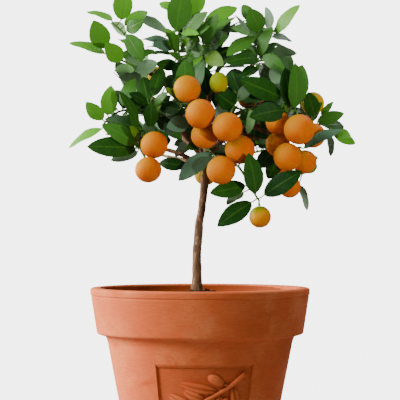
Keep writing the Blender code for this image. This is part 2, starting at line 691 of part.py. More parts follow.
def touches(one, others):
    """Whether a new solid meets another. Necks of one shoot may meet each other and their twigs."""
    allowed = ("neck", "twig") if one.kind == "neck" else ("neck",)
    for other in others:
        if other.owner == one.owner and other.kind in allowed:
            continue
        apart = any(one.low[i] > other.high[i] or one.high[i] < other.low[i] for i in range(3))
        if not apart and one.tree.overlap(other.tree):
            return True
    return False


def outline(u):
    """Half width of a blade along its length, as a share of the greatest."""
    return math.sin(math.pi * u ** 0.9) ** 0.72


def leaf_frame(base, tip, up):
    along = (tip - base).normalized()
    side = along.cross(up).normalized()
    return along, side, side.cross(along)


def blade_point(leaf, u, v, out=0.0):
    """A point on the blade's middle surface: u runs from 0 to 1 along it, v from -1 to 1 across."""
    along, side, up = leaf_frame(leaf["base"], leaf["tip"], leaf["up"])
    length = (leaf["tip"] - leaf["base"]).length
    half = leaf["width"] / 2 * outline(min(max(u, 0.0), 1.0)) + out
    fold = leaf["fold"]
    middle = leaf["base"] + along * length * u + up * length * leaf["arch"] * math.sin(math.pi * u)
    return middle + side * half * v * math.cos(fold) + up * half * abs(v) * math.sin(fold)


def leaf_points(leaf, rings, swell=0.0):
    """A leaf from its root in the twig to its tip: two three-sided rings, then four-sided ones."""
    along, side, up = leaf_frame(leaf["base"], leaf["tip"], leaf["up"])
    stalk, across, rise = leaf_frame(leaf["root"], leaf["base"], up)
    thin = PETIOLE_R * MM + swell
    points = []
    for centre in (leaf["root"], leaf["base"]):
        points += [centre + (rise * 0.6 - across) * thin, centre + (rise * 0.6 + across) * thin,
                   centre - rise * thin]
    thick = BLADE_THICK * MM / 2 + swell
    for u in rings:
        middle = blade_point(leaf, u, 0)
        points += [blade_point(leaf, u, -1, swell), middle + up * thick,
                   blade_point(leaf, u, 1, swell), middle - up * thick]
    points.append(leaf["tip"] + along * swell)
    return points


def leaf_faces(ring_count):
    """Faces of a leaf: each strip is split alike above and below, so that they never cross."""
    faces = [(0, 2, 1), (0, 1, 4, 3), (1, 2, 5, 4), (2, 0, 3, 5)]
    faces += [(3, 4, 7), (3, 7, 6), (4, 8, 7), (5, 3, 9), (3, 6, 9), (4, 5, 9), (4, 9, 8)]
    for ring in range(ring_count - 1):
        a = 6 + ring * 4
        b = a + 4
        faces += [(a, a + 1, b + 1), (a, b + 1, b), (a + 1, a + 2, b + 1), (a + 2, b + 2, b + 1)]
        faces += [(a, b + 3, a + 3), (a, b, b + 3), (a + 3, b + 3, a + 2), (a + 2, b + 3, b + 2)]
    last = 2 + ring_count * 4
    point = last + 4
    faces += [(last, last + 1, point), (last + 1, last + 2, point)]
    faces += [(last + 2, last + 3, point), (last + 3, last, point)]
    return faces


def guards(owner, leaf):
    """The blade, and its neck and stalk, a little larger than they are."""
    points = leaf_points(leaf, FRONT_RINGS, CLEAR * MM)
    faces = leaf_faces(len(FRONT_RINGS))
    neck = [face for face in faces if min(face) < 6]
    blade = [face for face in faces if min(face) >= 6]
    return grown_solid(owner, "body", points[6:], [tuple(i - 6 for i in face) for face in blade]), \
        grown_solid(owner, "neck", points[:10], neck)


def bend_cost(bend):
    """How far a bend takes a leaf from its own place; the least is tried first."""
    size, turn, swing, push, lift = bend
    return (1 - size) * 14 + abs(turn) / 14 + abs(swing) / 5 + abs(push) / 9 + lift / 4


TRIES = sorted(itertools.product(SIZES, TURNS, SWINGS, PUSHES, LIFTS), key=bend_cost)[:TRIES_MOST]


def place_leaf(owner, leaf, grown):
    """Bends a leaf until it is clear of everything grown so far; None where it can't be."""
    for size, turn, swing, push, lift in TRIES:
        tried = dict(leaf)
        reach = Quaternion((0, 1, 0), math.radians(swing)) @ ((leaf["tip"] - leaf["base"]) * size)
        reach += Vector((0, push * MM * size, 0))
        reach *= min(1.0, LEAF_MOST * MM / reach.length)
        tried["base"] = leaf["base"] + (leaf["base"] - leaf["root"]).normalized() * lift * MM
        tried["tip"] = tried["base"] + reach
        tried["width"] = leaf["width"] * size
        tried["up"] = Quaternion(reach.normalized(), math.radians(turn)) @ leaf["up"]
        blade, neck = guards(owner, tried)
        if not touches(blade, grown) and not touches(neck, grown):
            grown.append(blade)
            grown.append(neck)
            return tried
    return None


def nearest_on(routes, x, z):
    """The point of the routes, as seen from the front, that shows nearest to x, z."""
    best = None
    for route in routes:
        for (x0, y0, z0), (x1, y1, z1) in zip(route, route[1:]):
            step = Vector((x1 - x0, z1 - z0))
            share = Vector((x - x0, z - z0)).dot(step) / max(step.length_squared, 1e-6)
            share = min(max(share, 0.0), 1.0)
            found = (x0 + (x1 - x0) * share, y0 + (y1 - y0) * share, z0 + (z1 - z0) * share)
            off = math.hypot(found[0] - x, found[2] - z)
            if best is None or off < best[0]:
                best = (off, found)
    return best


def facing_leaf(routes, row):
    """A leaf as it shows from the front, hung on the nearest point of its shoot."""
    x0, z0, x1, z1, wide, side, reach = row
    off, root = nearest_on(routes, x0, z0)
    lift = math.sqrt(max(PETIOLE_LEAST ** 2 - off ** 2, 4.0))
    depth = root[1] - lift
    base = seen(x0, depth, z0)
    tip = seen(x1, depth + reach, z1)
    along = (tip - base).normalized()
    to_viewer = Vector((0, -1, 0))
    across = along.cross(to_viewer).normalized()
    facing = across.cross(along)
    outwards = Vector((OUTWARD * base.x, 0, 1.0))
    if across.dot(outwards) < 0:
        across = -across
    true_wide = max(wide * MM, (tip - base).length * LEAF_WIDE * 0.9)
    turn = math.acos(min(wide * MM / true_wide, 1.0))
    up = facing * side * math.cos(turn) + across * math.sin(turn)
    return {"root": seen(*root), "base": base, "tip": tip, "up": up, "width": true_wide,
            "arch": FRONT_ARCH, "fold": math.radians(FRONT_FOLD),
            "rings": FRONT_RINGS if (tip - base).length > LEAF_SMALL * MM else BACK_RINGS}


def along_route(route, share):
    """Point and direction at a share of a route's length, in metres."""
    points = [seen(*knot) for knot in route]
    lengths = [(b - a).length for a, b in zip(points, points[1:])]
    left = share * sum(lengths)
    for a, b, length in zip(points, points[1:], lengths):
        if left <= length:
            return a.lerp(b, left / length), (b - a).normalized()
        left -= length
    return points[-1], (points[-1] - points[-2]).normalized()


def rule_leaf(route, share, turn, front, dice):
    """A leaf by rule: it leaves the twig at an angle and tips its upper side to the sky."""
    root, along = along_route(route, share)
    out = Quaternion(along, turn) @ along.orthogonal().normalized()
    if front and out.y < -0.2:
        out.y = -out.y
    lift = Vector((0, 0, dice.uniform(*LEAF_LIFT)))
    way = (along * dice.uniform(*LEAF_LEAN) + out + lift).normalized()
    base = root + (out + along * 0.4).normalized() * dice.uniform(*PETIOLE_LONG) * MM
    long = dice.uniform(*LEAF_LONG) * MM
    tip = base + way * long
    up = Vector((OUTWARD * base.x, OUTWARD * base.y, 1.0)) + out * 0.3
    up = (up - way * up.dot(way)).normalized()
    return {"root": root, "base": base, "tip": tip, "up": up, "width": long * LEAF_WIDE,
            "arch": dice.uniform(*BACK_ARCH), "fold": math.radians(dice.uniform(*BACK_FOLD)),
            "rings": BACK_RINGS}


def shown_in_crown(leaf):
    """Whether a leaf's tip shows inside the crown's oval."""
    tip = leaf["tip"] / MM
    scale = EYE_AWAY / (EYE_AWAY + tip.y)
    x = tip.x * scale
    z = EYE_HIGH + (tip.z - EYE_HIGH) * scale
    return math.hypot((x - CROWN_MIDDLE[0]) / CROWN_HALF[0], (z - CROWN_MIDDLE[1]) / CROWN_HALF[1]) < 1


def shoot_routes(name):
    """The shoot's routes, the first of them led on from its branch's end in a straight line."""
    before, end = BRANCHES[name][-2][:3], BRANCHES[name][-1][:3]
    line = Vector(end) - Vector(before)
    line.normalize()
    start = tuple(Vector(end) + line * GAP)
    straight = tuple(Vector(end) + line * TWIG_START)
    first, *others = SHOOTS[name]
    return [[start, straight] + first] + others


def root_routes(name):
    """The stretches of a shoot that may carry a leaf or a fruit: all but the start and the very ends."""
    first, *others = shoot_routes(name)
    stretches = []
    for route in [first[1:]] + others:
        before, end = Vector(route[-2]), Vector(route[-1])
        end += (before - end).normalized() * TWIG_END
        stretches.append(route[:-1] + [tuple(end)])
    return stretches


def route_rod(route):
    points = [seen(*knot) for knot in route]
    count = len(points) - 1
    radii = [(TWIG_R + (TWIG_TIP_R - TWIG_R) * i / count) * MM for i in range(count + 1)]
    return points, radii


def fruit_place(row):
    """A fruit's middle, radius and the way to its stalk, and the point of the shoot that carries it."""
    x, y, z, wide, tall, name = row
    middle = seen(x, y, z)
    radius = wide / 2 * MM * (EYE_AWAY + y) / EYE_AWAY
    above = middle + Vector((0, 0, 1)) * radius * 1.4
    best = None
    for route in root_routes(name):
        points = [seen(*knot) for knot in route]
        for a, b in zip(points, points[1:]):
            step = b - a
            share = min(max((above - a).dot(step) / step.length_squared, 0.0), 1.0)
            point = a + step * share
            if best is None or (point - above).length < (best - above).length:
                best = point
    line = best - middle
    rise = min(1.0, (line.length - radius) / (20 * MM)) * 0.4
    way = (line.normalized() + Vector((0, 0, rise))).normalized()
    return middle, radius, way, best


def stalk_rod(row):
    """The fruit's stalk, from the middle of the twig to the calyx, which spreads at its end."""
    middle, radius, way, start = fruit_place(row)
    end = middle + way * (radius * row[4] * FRUIT_TOP + GAP * MM)
    neck = end + way * CALYX_THICK * MM
    return [start, neck, end], [STALK_R * MM, STALK_R * 1.3 * MM, CALYX_R * MM]


def grow_crown():
    """Places every leaf and returns each shoot's list of them."""
    grown = []
    for rows in [STEM] + list(BRANCHES.values()):
        points = [seen(x, y, z) for x, y, z, r in rows]
        grown.append(grown_solid("trunk", "body", *prism(points, [r * MM for x, y, z, r in rows])))
    for name in SHOOTS:
        for route in shoot_routes(name):
            grown.append(grown_solid(name, "twig", *prism(*route_rod(route))))
    for number, row in enumerate(FRUITS):
        middle, radius, way, start = fruit_place(row)
        grown.append(grown_solid(f"fruit_{number + 1}", "body", *ball(middle, radius * max(row[4], 1.0))))
        grown.append(grown_solid(row[5], "twig", *prism(*stalk_rod(row))))
    leaves = {name: [] for name in SHOOTS}
    for name, rows in LEAVES.items():
        routes = root_routes(name)
        for row in rows:
            leaf = place_leaf(name, facing_leaf(routes, row), grown)
            if leaf:
                leaves[name].append(leaf)
    dice = random.Random(SEED)
    for name, count in MORE_LEAVES.items():
        routes = root_routes(name)
        front = name in LEAVES
        for number in range(count):
            share = (number + 0.7) / count
            for attempt in range(ATTEMPTS):
                turn = math.radians(LEAF_AROUND * number + LEAF_ASIDE * attempt + dice.uniform(-20, 20))
                leaf = rule_leaf(routes[0], share, turn, front, dice)
                if shown_in_crown(leaf):
                    leaf = place_leaf(name, leaf, grown)
                    if leaf:
                        leaves[name].append(leaf)
                        break
    return leaves


leaves = grow_crown()
for name in SHOOTS:
    routes = shoot_routes(name)
    shoot = new_object(f"spray_{name}", tube_mesh(*route_rod(routes[0]), 0), parts, LEAF)
    pieces = [tube_mesh(*route_rod(route), 0) for route in routes[1:]]
    for row in FRUITS:
        if row[5] == name:
            pieces.append(tube_mesh(*stalk_rod(row), 1))
    for leaf in leaves[name]:
        rings = leaf["rings"]
        pieces.append(outward(leaf_points(leaf, rings), leaf_faces(len(rings))))
    join_all(shoot, pieces, "MANIFOLD")


# Fruits: each a turned ball with a flat under its calyx, leaning on the line of its stalk

def fruit_profile(radius, tall):
    """The fruit's outline from the flat at its top to its lowest point, in mm."""
    rows = 4
    top = math.acos(FRUIT_TOP)
    profile = [(0, radius * tall * FRUIT_TOP)]
    for row in range(rows):
        down = top + (math.pi - top) * row / rows
        profile.append((radius * math.sin(down), radius * tall * math.cos(down)))
    profile.append((0, -radius * tall))
    return profile


for number, row in enumerate(FRUITS):
    middle, radius, way, start = fruit_place(row)
    fruit = turned(f"fruit_{number + 1:02d}", fruit_profile(radius / MM, row[4]), 9, parts, FRUIT)
    apply_modifiers(fruit)
    lean = Vector((0, 0, 1)).rotation_difference(way).to_matrix().to_4x4()
    fruit.matrix_world = Matrix.Translation(middle) @ lean
    round_shading(fruit, math.radians(60))
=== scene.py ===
# Potted orange tree: the finish of every surface, in one shared frame with the solids.
# Metres, +Z up. The origin is the middle of the pot's underside, and the front of the pot faces -Y.
import itertools
import json
import math
import random
from collections import namedtuple

import bmesh
import bpy
from mathutils import Matrix, Quaternion, Vector, noise
from mathutils.bvhtree import BVHTree

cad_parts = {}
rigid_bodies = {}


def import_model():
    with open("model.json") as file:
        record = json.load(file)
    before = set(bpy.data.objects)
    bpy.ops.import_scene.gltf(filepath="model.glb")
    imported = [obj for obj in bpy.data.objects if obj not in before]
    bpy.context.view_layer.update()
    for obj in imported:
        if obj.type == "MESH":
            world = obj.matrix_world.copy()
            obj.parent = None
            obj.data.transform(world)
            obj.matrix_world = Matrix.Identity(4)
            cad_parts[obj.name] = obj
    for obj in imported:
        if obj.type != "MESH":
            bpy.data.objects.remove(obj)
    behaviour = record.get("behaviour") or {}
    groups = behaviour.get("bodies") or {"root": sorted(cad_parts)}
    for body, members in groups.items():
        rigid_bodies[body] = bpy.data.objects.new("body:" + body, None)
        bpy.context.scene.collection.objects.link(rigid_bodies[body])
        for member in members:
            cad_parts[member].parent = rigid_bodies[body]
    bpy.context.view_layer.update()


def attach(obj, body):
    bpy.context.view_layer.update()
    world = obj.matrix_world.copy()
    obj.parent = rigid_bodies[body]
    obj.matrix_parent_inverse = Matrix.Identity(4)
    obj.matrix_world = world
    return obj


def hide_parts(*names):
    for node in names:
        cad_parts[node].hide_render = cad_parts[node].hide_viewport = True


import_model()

MM = 0.001


# Camera: level with the lower crown, straight in front of the panel, with a long lens. Sizes are mm.

EYE_AWAY = 2400.0
EYE_HIGH = 305.45
camera = bpy.data.objects.new("camera", bpy.data.cameras.new("camera"))
bpy.context.scene.collection.objects.link(camera)
camera.data.lens = 198.0
camera.data.sensor_width = 36.0
camera.data.clip_end = 20.0
camera.location = (0, -EYE_AWAY * MM, EYE_HIGH * MM)
camera.rotation_euler = (math.radians(90), 0, 0)
bpy.context.scene.camera = camera


# Pot: one piece of unglazed terracotta, turned on a wheel with a thick rolled rim and a deep collar. A panel
# is pressed into its front while the clay is soft, and it is fired hard. Sizes are mm.

POT_HIGH = 210.0
RIM_R = 120.0
LIP_WIDE = 13.0
COLLAR_LOW_R = 112.7
COLLAR_LOW = 160.0
BODY_TOP_R = 100.9
BODY_TOP = 151.5
FOOT_R = 72.0
FLOOR_THICK = 12.0
WALL_THICK = 9.0
DRAIN_R = 7.0
DRAIN_OUT = 35.0
DRAINS = 3
PANEL_DEEP = 3.0
PANEL_DRAFT = 3.6         # how far the panel's upper wall slopes
PANEL_TOP = 132.5
PANEL_LOW = 28.0
PANEL_LEFT = -29.1        # degrees round from the front
PANEL_RIGHT = 35.8
TURN_STEP = 2.5           # degrees from one row of faces to the next
ROW_STEP = 2.2            # mm from one row of faces to the next
TURNING_MARK = 0.07       # depth of the marks that the wheel leaves
TURNING_FINE = 420        # how close they lie, to a metre
OUT_OF_ROUND = 0.45
ROUND_FINE = 9            # how fine that unevenness is, to a metre
ROUND_IN = 0.3            # share of OUT_OF_ROUND by which the wall is drawn in
PANEL_SHADE = 0.32         # how dark the panel's ground is painted, as painted shade in the recess
PANEL_SHADE_DEEP = 1.6     # how deep under the wall's surface that starts
DAMP_AND_SHADE = 0.94               # how dark the inner wall is above the height below: damp clay, darkened further as painted shade
DAMP_SHADE_LOW = 188

CLAY_FIRED = (0.57, 0.108, 0.028, 1)
CLAY_PALE = (0.62, 0.145, 0.042, 1)
CLAY_RED = (0.44, 0.055, 0.006, 1)
CLAY_DAMP_SHADED = (0.27, 0.045, 0.006, 1)       # the inner wall over the moist soil: damp clay, darkened further as painted shade
CLAY_CREVICE_SHADE = (0.25, 0.030, 0.004, 1)    # painted shade on the sunk panel's ground and round the foot of the relief
CLAY_BLOOM = (0.70, 0.235, 0.080, 1)
CLAY_SMUDGE = (0.38, 0.075, 0.020, 1)     # soil rubbed into the turning marks and the worn spots
STREAKED = 0.24           # how dark the smudges in the turning marks and in the worn spots are
WORN = 0.55
# Clouds in the clay: size in metres, where in the noise they start and are full, how flat, and their place
PALE_CLOUDS = (0.06, 0.38, 0.66, 1.4)
RED_CLOUDS = (0.035, 0.55, 0.80, 2.2, 3.0)
BLOOM_CLOUDS = (0.045, 0.50, 0.95, 1.0, 7.0)
RED_SPECKS = (0.0018, 0.58, 0.78, 1.0, 11.0)
TURNING_STREAKS = (0.012, 0.3, 0.7, 9.0, 5.0)
WORN_SPOTS = (0.007, 0.50, 0.85, 2.5, 17.0)
CLAY_GRIT = (0.0008, 0.3, 0.7, 1.0, 1.0)
SCUFFS = (0.0045, 0.46, 0.56, 1.3, 8.0)
SCUFF_AT = (-0.0275, -0.0870, 0.1360)     # reddish scuffs at the panel's upper left corner, in metres
SCUFF_R = 0.014


def body_radius(z):
    """Outer radius of the pot's body at a height."""
    return FOOT_R + (BODY_TOP_R - FOOT_R) * z / BODY_TOP


# The profile in stretches from the floor up, over the rim and down to the foot: radius and height
INNER_WALL = [
    (body_radius(FLOOR_THICK) - WALL_THICK, FLOOR_THICK),
    (BODY_TOP_R - WALL_THICK, BODY_TOP),
    (RIM_R - LIP_WIDE, POT_HIGH - 6),
]
LIP = [
    (RIM_R - LIP_WIDE + 0.3, POT_HIGH - 1.6),
    (RIM_R - LIP_WIDE + 1.8, POT_HIGH),
    (RIM_R - 2.0, POT_HIGH),
    (RIM_R, POT_HIGH - 1.6),
]
COLLAR = [
    (RIM_R - 0.3, POT_HIGH - 7.2),
    (RIM_R - 1.5, POT_HIGH - 8.2),
    (RIM_R - 1.1, POT_HIGH - 9.4),
    (COLLAR_LOW_R, COLLAR_LOW + 1.4),
    (COLLAR_LOW_R - 1.2, COLLAR_LOW),
    (COLLAR_LOW_R - 9.6, COLLAR_LOW - 2.6),
]
BODY = [
    (BODY_TOP_R, BODY_TOP),
    (body_radius(PANEL_TOP), PANEL_TOP),
    (body_radius(PANEL_LOW), PANEL_LOW),
    (FOOT_R + 0.6, 3),
    (FOOT_R - 2, 0),
]


def new_piece(name, shape, *materials):
    """Puts a finished shape in the scene under its name, smooth all over, and frees it."""
    mesh = bpy.data.meshes.new(name)
    shape.to_mesh(mesh)
    shape.free()
    for material in materials:
        mesh.materials.append(material)
    mesh.shade_smooth()
    made = bpy.data.objects.new(name, mesh)
    bpy.context.scene.collection.objects.link(made)
    return made


def baked(piece):
    """Applies the piece's modifiers to its mesh."""
    graph = bpy.context.evaluated_depsgraph_get()
    piece.data = bpy.data.meshes.new_from_object(piece.evaluated_get(graph))
    piece.modifiers.clear()


def new_material(name, roughness, specular=0.5):
    """A material, its node tree and its shader."""
    made = bpy.data.materials.new(name)
    made.use_nodes = True
    shader = made.node_tree.nodes["Principled BSDF"]
    shader.inputs["Roughness"].default_value = roughness
    shader.inputs["Specular IOR Level"].default_value = specular
    return made, made.node_tree, shader


def put(tree, kind, inputs=(), **settings):
    """Adds a node; an input's value is a number or colour, or a socket to link from."""
    made = tree.nodes.new("ShaderNode" + kind)
    for name, value in settings.items():
        setattr(made, name, value)
    for name, value in dict(inputs).items():
        if isinstance(value, bpy.types.NodeSocket):
            tree.links.new(value, made.inputs[name])
        else:
            made.inputs[name].default_value = value
    return made


def mixed(tree, share, first, second):
    """The colour between two colours; share, first and second are values or sockets."""
    return put(tree, "Mix", {0: share, 6: first, 7: second}, data_type="RGBA").outputs[2]


def reckoned(tree, operation, *values):
    """The outcome of a sum on values or sockets."""
    return put(tree, "Math", dict(enumerate(values)), operation=operation).outputs[0]


def summed(tree, first, second, share):
    """first + second * share"""
    return reckoned(tree, "MULTIPLY_ADD", second, share, first)


def ramp(tree, value, start, end, low=0.0, high=1.0, kind="LINEAR"):
    """Goes from low to high while the value goes from start to end."""
    ends = {"From Min": start, "From Max": end, "To Min": low, "To Max": high}
    return put(tree, "MapRange", {"Value": value, **ends}, interpolation_type=kind).outputs["Result"]


def painted(tree, name):
    """The red, green and blue of a colour that the piece's points carry."""
    carried = put(tree, "Attribute", attribute_name=name).outputs["Color"]
    return put(tree, "SeparateColor", {0: carried}).outputs


def bumped(tree, shader, height, strength, distance):
    """Gives the material a fine relief; the distance is in metres."""
    made = put(tree, "Bump", {"Height": height, "Strength": strength, "Distance": distance})
    tree.links.new(made.outputs["Normal"], shader.inputs["Normal"])


def make_mottle():
    """Shader group: a cloudy mask from 0 to 1."""
    group = bpy.data.node_groups.new("mottle", "ShaderNodeTree")
    for name, start in (("Size", 0.02), ("Stretch", 1.0), ("Place", 0.0), ("From", 0.4), ("To", 0.6)):
        socket = group.interface.new_socket(name=name, in_out="INPUT", socket_type="NodeSocketFloat")
        socket.default_value = start
    group.interface.new_socket(name="Mask", in_out="OUTPUT", socket_type="NodeSocketFloat")
    given = group.nodes.new("NodeGroupInput").outputs
    where = put(group, "TexCoord").outputs["Object"]
    drawn = put(group, "CombineXYZ", {"X": 1.0, "Y": 1.0, "Z": given["Stretch"]})
    drawn = put(group, "VectorMath", {0: where, 1: drawn.outputs[0]}, operation="MULTIPLY")
    moved = put(group, "VectorMath", {0: drawn.outputs[0], 1: given["Place"]}, operation="ADD").outputs[0]
    scale = reckoned(group, "DIVIDE", 1.0, given["Size"])
    clouds = put(group, "TexNoise", {"Vector": moved, "Scale": scale, "Detail": 4.0, "Roughness": 0.6})
    mask = ramp(group, clouds.outputs["Fac"], given["From"], given["To"], kind="SMOOTHSTEP")
    end = group.nodes.new("NodeGroupOutput")
    group.links.new(mask, end.inputs["Mask"])
    return group


mottle = make_mottle()


def cloudy(tree, size, start, end, stretch=1.0, place=0.0):
    """The mottle group's mask in a material: the clouds' size in metres, where in the noise the mask starts
    and is full, how many times flatter than wide the clouds are, and a number that shifts them."""
    made = tree.nodes.new("ShaderNodeGroup")
    made.node_tree = mottle
    for name, value in (("Size", size), ("Stretch", stretch), ("Place", place), ("From", start), ("To", end)):
        made.inputs[name].default_value = value
    return made.outputs["Mask"]


terracotta, tree, shader = new_material("terracotta", roughness=0.85, specular=0.15)
clay = mixed(tree, cloudy(tree, *PALE_CLOUDS), CLAY_FIRED, CLAY_PALE)
clay = mixed(tree, cloudy(tree, *RED_CLOUDS), clay, CLAY_RED)
clay = mixed(tree, cloudy(tree, *BLOOM_CLOUDS), clay, CLAY_BLOOM)
clay = mixed(tree, cloudy(tree, *RED_SPECKS), clay, CLAY_RED)
turning = cloudy(tree, *TURNING_STREAKS)
clay = mixed(tree, reckoned(tree, "MULTIPLY", turning, STREAKED), clay, CLAY_SMUDGE)
clay = mixed(tree, reckoned(tree, "MULTIPLY", cloudy(tree, *WORN_SPOTS), WORN), clay, CLAY_SMUDGE)
where = put(tree, "TexCoord").outputs["Object"]
off = put(tree, "VectorMath", {0: where, 1: SCUFF_AT}, operation="DISTANCE").outputs["Value"]
near = ramp(tree, off, 0.0, SCUFF_R, 1.0, 0.0)
clay = mixed(tree, reckoned(tree, "MULTIPLY", near, cloudy(tree, *SCUFFS)), clay, CLAY_RED)
marks = painted(tree, "marks")
# Painted shade in the sunk panel and at the foot of the relief
clay = mixed(tree, marks[0], clay, CLAY_CREVICE_SHADE)
# The inner wall: damp clay, darkened further as painted shade
clay = mixed(tree, marks[1], clay, CLAY_DAMP_SHADED)
tree.links.new(clay, shader.inputs["Base Color"])
height = summed(tree, turning, cloudy(tree, *CLAY_GRIT), share=0.7)
bumped(tree, shader, height, strength=0.35, distance=0.0004)


def outline_shape(profile, rounds, radius):
    """The profile as a chain of edges, rounded at some of its points and cut into short edges."""
    shape = bmesh.new()
    chain = [shape.verts.new((r * MM, 0, z * MM)) for r, z in profile]
    for a, b in zip(chain, chain[1:]):
        shape.edges.new((a, b))
    bmesh.ops.bevel(shape, geom=[chain[i] for i in rounds], offset=radius * MM, offset_type="OFFSET",
                    segments=3, profile=0.5, affect="VERTICES", material=-1)
    for edge in list(shape.edges):
        cuts = int(edge.calc_length() / (ROW_STEP * MM))
        if cuts:
            bmesh.ops.subdivide_edges(shape, edges=[edge], cuts=cuts)
    return shape


def full_turn(shape, steps):
    """Turns the shape's chain of edges all round the upright axis into a closed surface."""
    bmesh.ops.spin(shape, geom=list(shape.verts) + list(shape.edges), cent=(0, 0, 0), axis=(0, 0, 1),
                   angle=math.radians(360), steps=steps, use_merge=True, use_duplicate=False)
    welded(shape)


def welded(shape):
    """Closes the seams and poles, and turns every face outwards."""
    bmesh.ops.remove_doubles(shape, verts=shape.verts, dist=0.00001)
    bmesh.ops.recalc_face_normals(shape, faces=shape.faces)


pot_profile = [(0, FLOOR_THICK)] + INNER_WALL + LIP + COLLAR + BODY + [(0, 0)]
pot_shape = outline_shape(pot_profile, range(1, len(pot_profile) - 1), radius=0.6)
start = Matrix.Rotation(math.radians(PANEL_LEFT - 90), 3, "Z")
bmesh.ops.rotate(pot_shape, cent=(0, 0, 0), matrix=start, verts=pot_shape.verts)
chain = list(pot_shape.verts) + list(pot_shape.edges)
for wide in (PANEL_RIGHT - PANEL_LEFT, 360 + PANEL_LEFT - PANEL_RIGHT):
    turned = bmesh.ops.spin(pot_shape, geom=chain, cent=(0, 0, 0), axis=(0, 0, 1), angle=math.radians(wide),
                            steps=round(wide / TURN_STEP), use_duplicate=False)
    chain = turned["geom_last"]
welded(pot_shape)


def in_panel(face):
    """Whether a face lies on the pressed panel."""
    middle = face.calc_center_median() / MM
    around = math.degrees(math.atan2(middle.x, -middle.y))
    outside = math.hypot(middle.x, middle.y) > body_radius(middle.z) - 1
    return outside and PANEL_LEFT < around < PANEL_RIGHT and PANEL_LOW < middle.z < PANEL_TOP


panel = [face for face in pot_shape.faces if in_panel(face)]
bmesh.ops.inset_region(pot_shape, faces=panel, thickness=0.5 * MM, depth=-PANEL_DEEP * MM,
                       use_even_offset=True, use_boundary=True)
top_edge = {vert for face in panel for vert in face.verts if vert.co.z > (PANEL_TOP - 1.5) * MM}
for vert in top_edge:
    vert.co.z -= PANEL_DRAFT * MM
pressed = set(panel)
edges = {edge for face in panel for edge in face.edges if not pressed.issuperset(edge.link_faces)}
bmesh.ops.bevel(pot_shape, geom=list(edges), offset=0.4 * MM, offset_type="OFFSET", segments=2, profile=0.5,
                affect="EDGES", material=-1)
for vert in pot_shape.verts:
    outwards = Vector((vert.co.x, vert.co.y, 0)).normalized()
    wobble = noise.noise(vert.co * ROUND_FINE) * OUT_OF_ROUND
    mark = noise.noise(Vector((0, 0, vert.co.z * TURNING_FINE))) * TURNING_MARK
    vert.co += outwards * (wobble - abs(mark) - OUT_OF_ROUND * ROUND_IN) * MM
mark_layer = pot_shape.verts.layers.float_color.new("marks")
for vert in pot_shape.verts:
    out, high = math.hypot(vert.co.x, vert.co.y) / MM, vert.co.z / MM
    # Damp clay on the inner wall, darkened further as painted shade
    damp_shade = float(out < RIM_R - LIP_WIDE + 0.2 and high > DAMP_SHADE_LOW)
    deep = body_radius(high) - out
    # Painted shade on the sunk panel's ground
    sunk = float(PANEL_LOW < high < PANEL_TOP and PANEL_SHADE_DEEP < deep < PANEL_DEEP + 1)
    vert[mark_layer] = (sunk * PANEL_SHADE, damp_shade * DAMP_AND_SHADE, 0, 1)
pot = new_piece("terracotta_pot", pot_shape, terracotta)

drain_shape = bmesh.new()
for number in range(DRAINS):
    around = math.radians(90 + 360 / DRAINS * number)
    made = bmesh.ops.create_cone(drain_shape, cap_ends=True, segments=32, radius1=DRAIN_R * MM,
                                 radius2=DRAIN_R * MM, depth=4 * FLOOR_THICK * MM)
    bmesh.ops.translate(drain_shape, verts=made["verts"],
                        vec=Vector((DRAIN_OUT * math.cos(around), DRAIN_OUT * math.sin(around), 0)) * MM)
drains = new_piece("drains", drain_shape, terracotta)
hole = pot.modifiers.new("drains", "BOOLEAN")
hole.operation = "DIFFERENCE"
hole.solver = "EXACT"
hole.object = drains
baked(pot)
bpy.data.objects.remove(drains)
pot.data.set_sharp_from_angle(angle=math.radians(50))
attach(pot, "root")
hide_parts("pot")


# Sprig on the panel: an olive twig with leaves and olives, pressed in a mould from the same clay and luted on
# before firing. Places are mm across the front and mm up.

SPRIG_TWIG = [(46.5, 122.5), (37, 114), (30, 108.5), (21, 103), (9, 96.5), (-9, 86), (-24, 67), (-33, 44)]
SPRIG_TWIG_R = 2.5
SPRIG_THICK = 1.3         # the twig's thickness where it starts, as a share
SPRIG_TAPER = 0.7         # how much of that it loses to its end
SPRIG_LIFT = 1.4          # height of its middle over the panel's ground
# Each leaf: base x, z, tip x, z, width
SPRIG_LEAVES = [
    (19, 104, -21, 112.5, 12), (5, 95.5, -17, 105, 11), (-6, 88, -33, 101, 11), (34, 109, 36, 84, 11),
    (21, 101, 15, 76, 11), (-16, 79, -41, 84, 10), (-4, 89, -10, 64, 10), (-27, 58, -9, 46, 10),
    (-33, 45, -36, 32, 8),
]
# Each olive: x, z, length, width, lean in degrees
SPRIG_OLIVES = [(16.5, 116, 19, 11.5, -60), (26, 91, 14, 10, 15), (-17, 66, 13, 10, 5)]
SPRIG_STALK = [(25, 111.5), (31, 109.5)]      # the upper olive's stalk
SPRIG_STALK_R = (1.5, 1.2)
SPRIG_STALK_LIFT = 1.2
RELIEF_HIGH = 4.2
CREVICE_SHADE_HIGH = 3.0        # mm above the ground up to which the relief is painted darker, as painted shade
CREASE = 0.55             # depth of a leaf's mid groove, as a share of its height
CREASE_HALF = 0.16        # half its width, as a share of the leaf's half width
LEAF_BOW = 1.2            # how far a leaf bows aside
LEAF_SUNK = 0.3           # how far a leaf's middle lies in the panel's ground
OLIVE_FLAT = 0.75         # how high an olive stands, as a share of its width
OLIVE_LIFT = 0.5          # height of its middle over the ground


def on_panel(x, z, lift):
    """A point above the panel's sunk ground, in metres."""
    ground = body_radius(z) - PANEL_DEEP
    around = math.asin(x / ground)
    radius = ground + lift
    return Vector((radius * math.sin(around), -radius * math.cos(around), z)) * MM


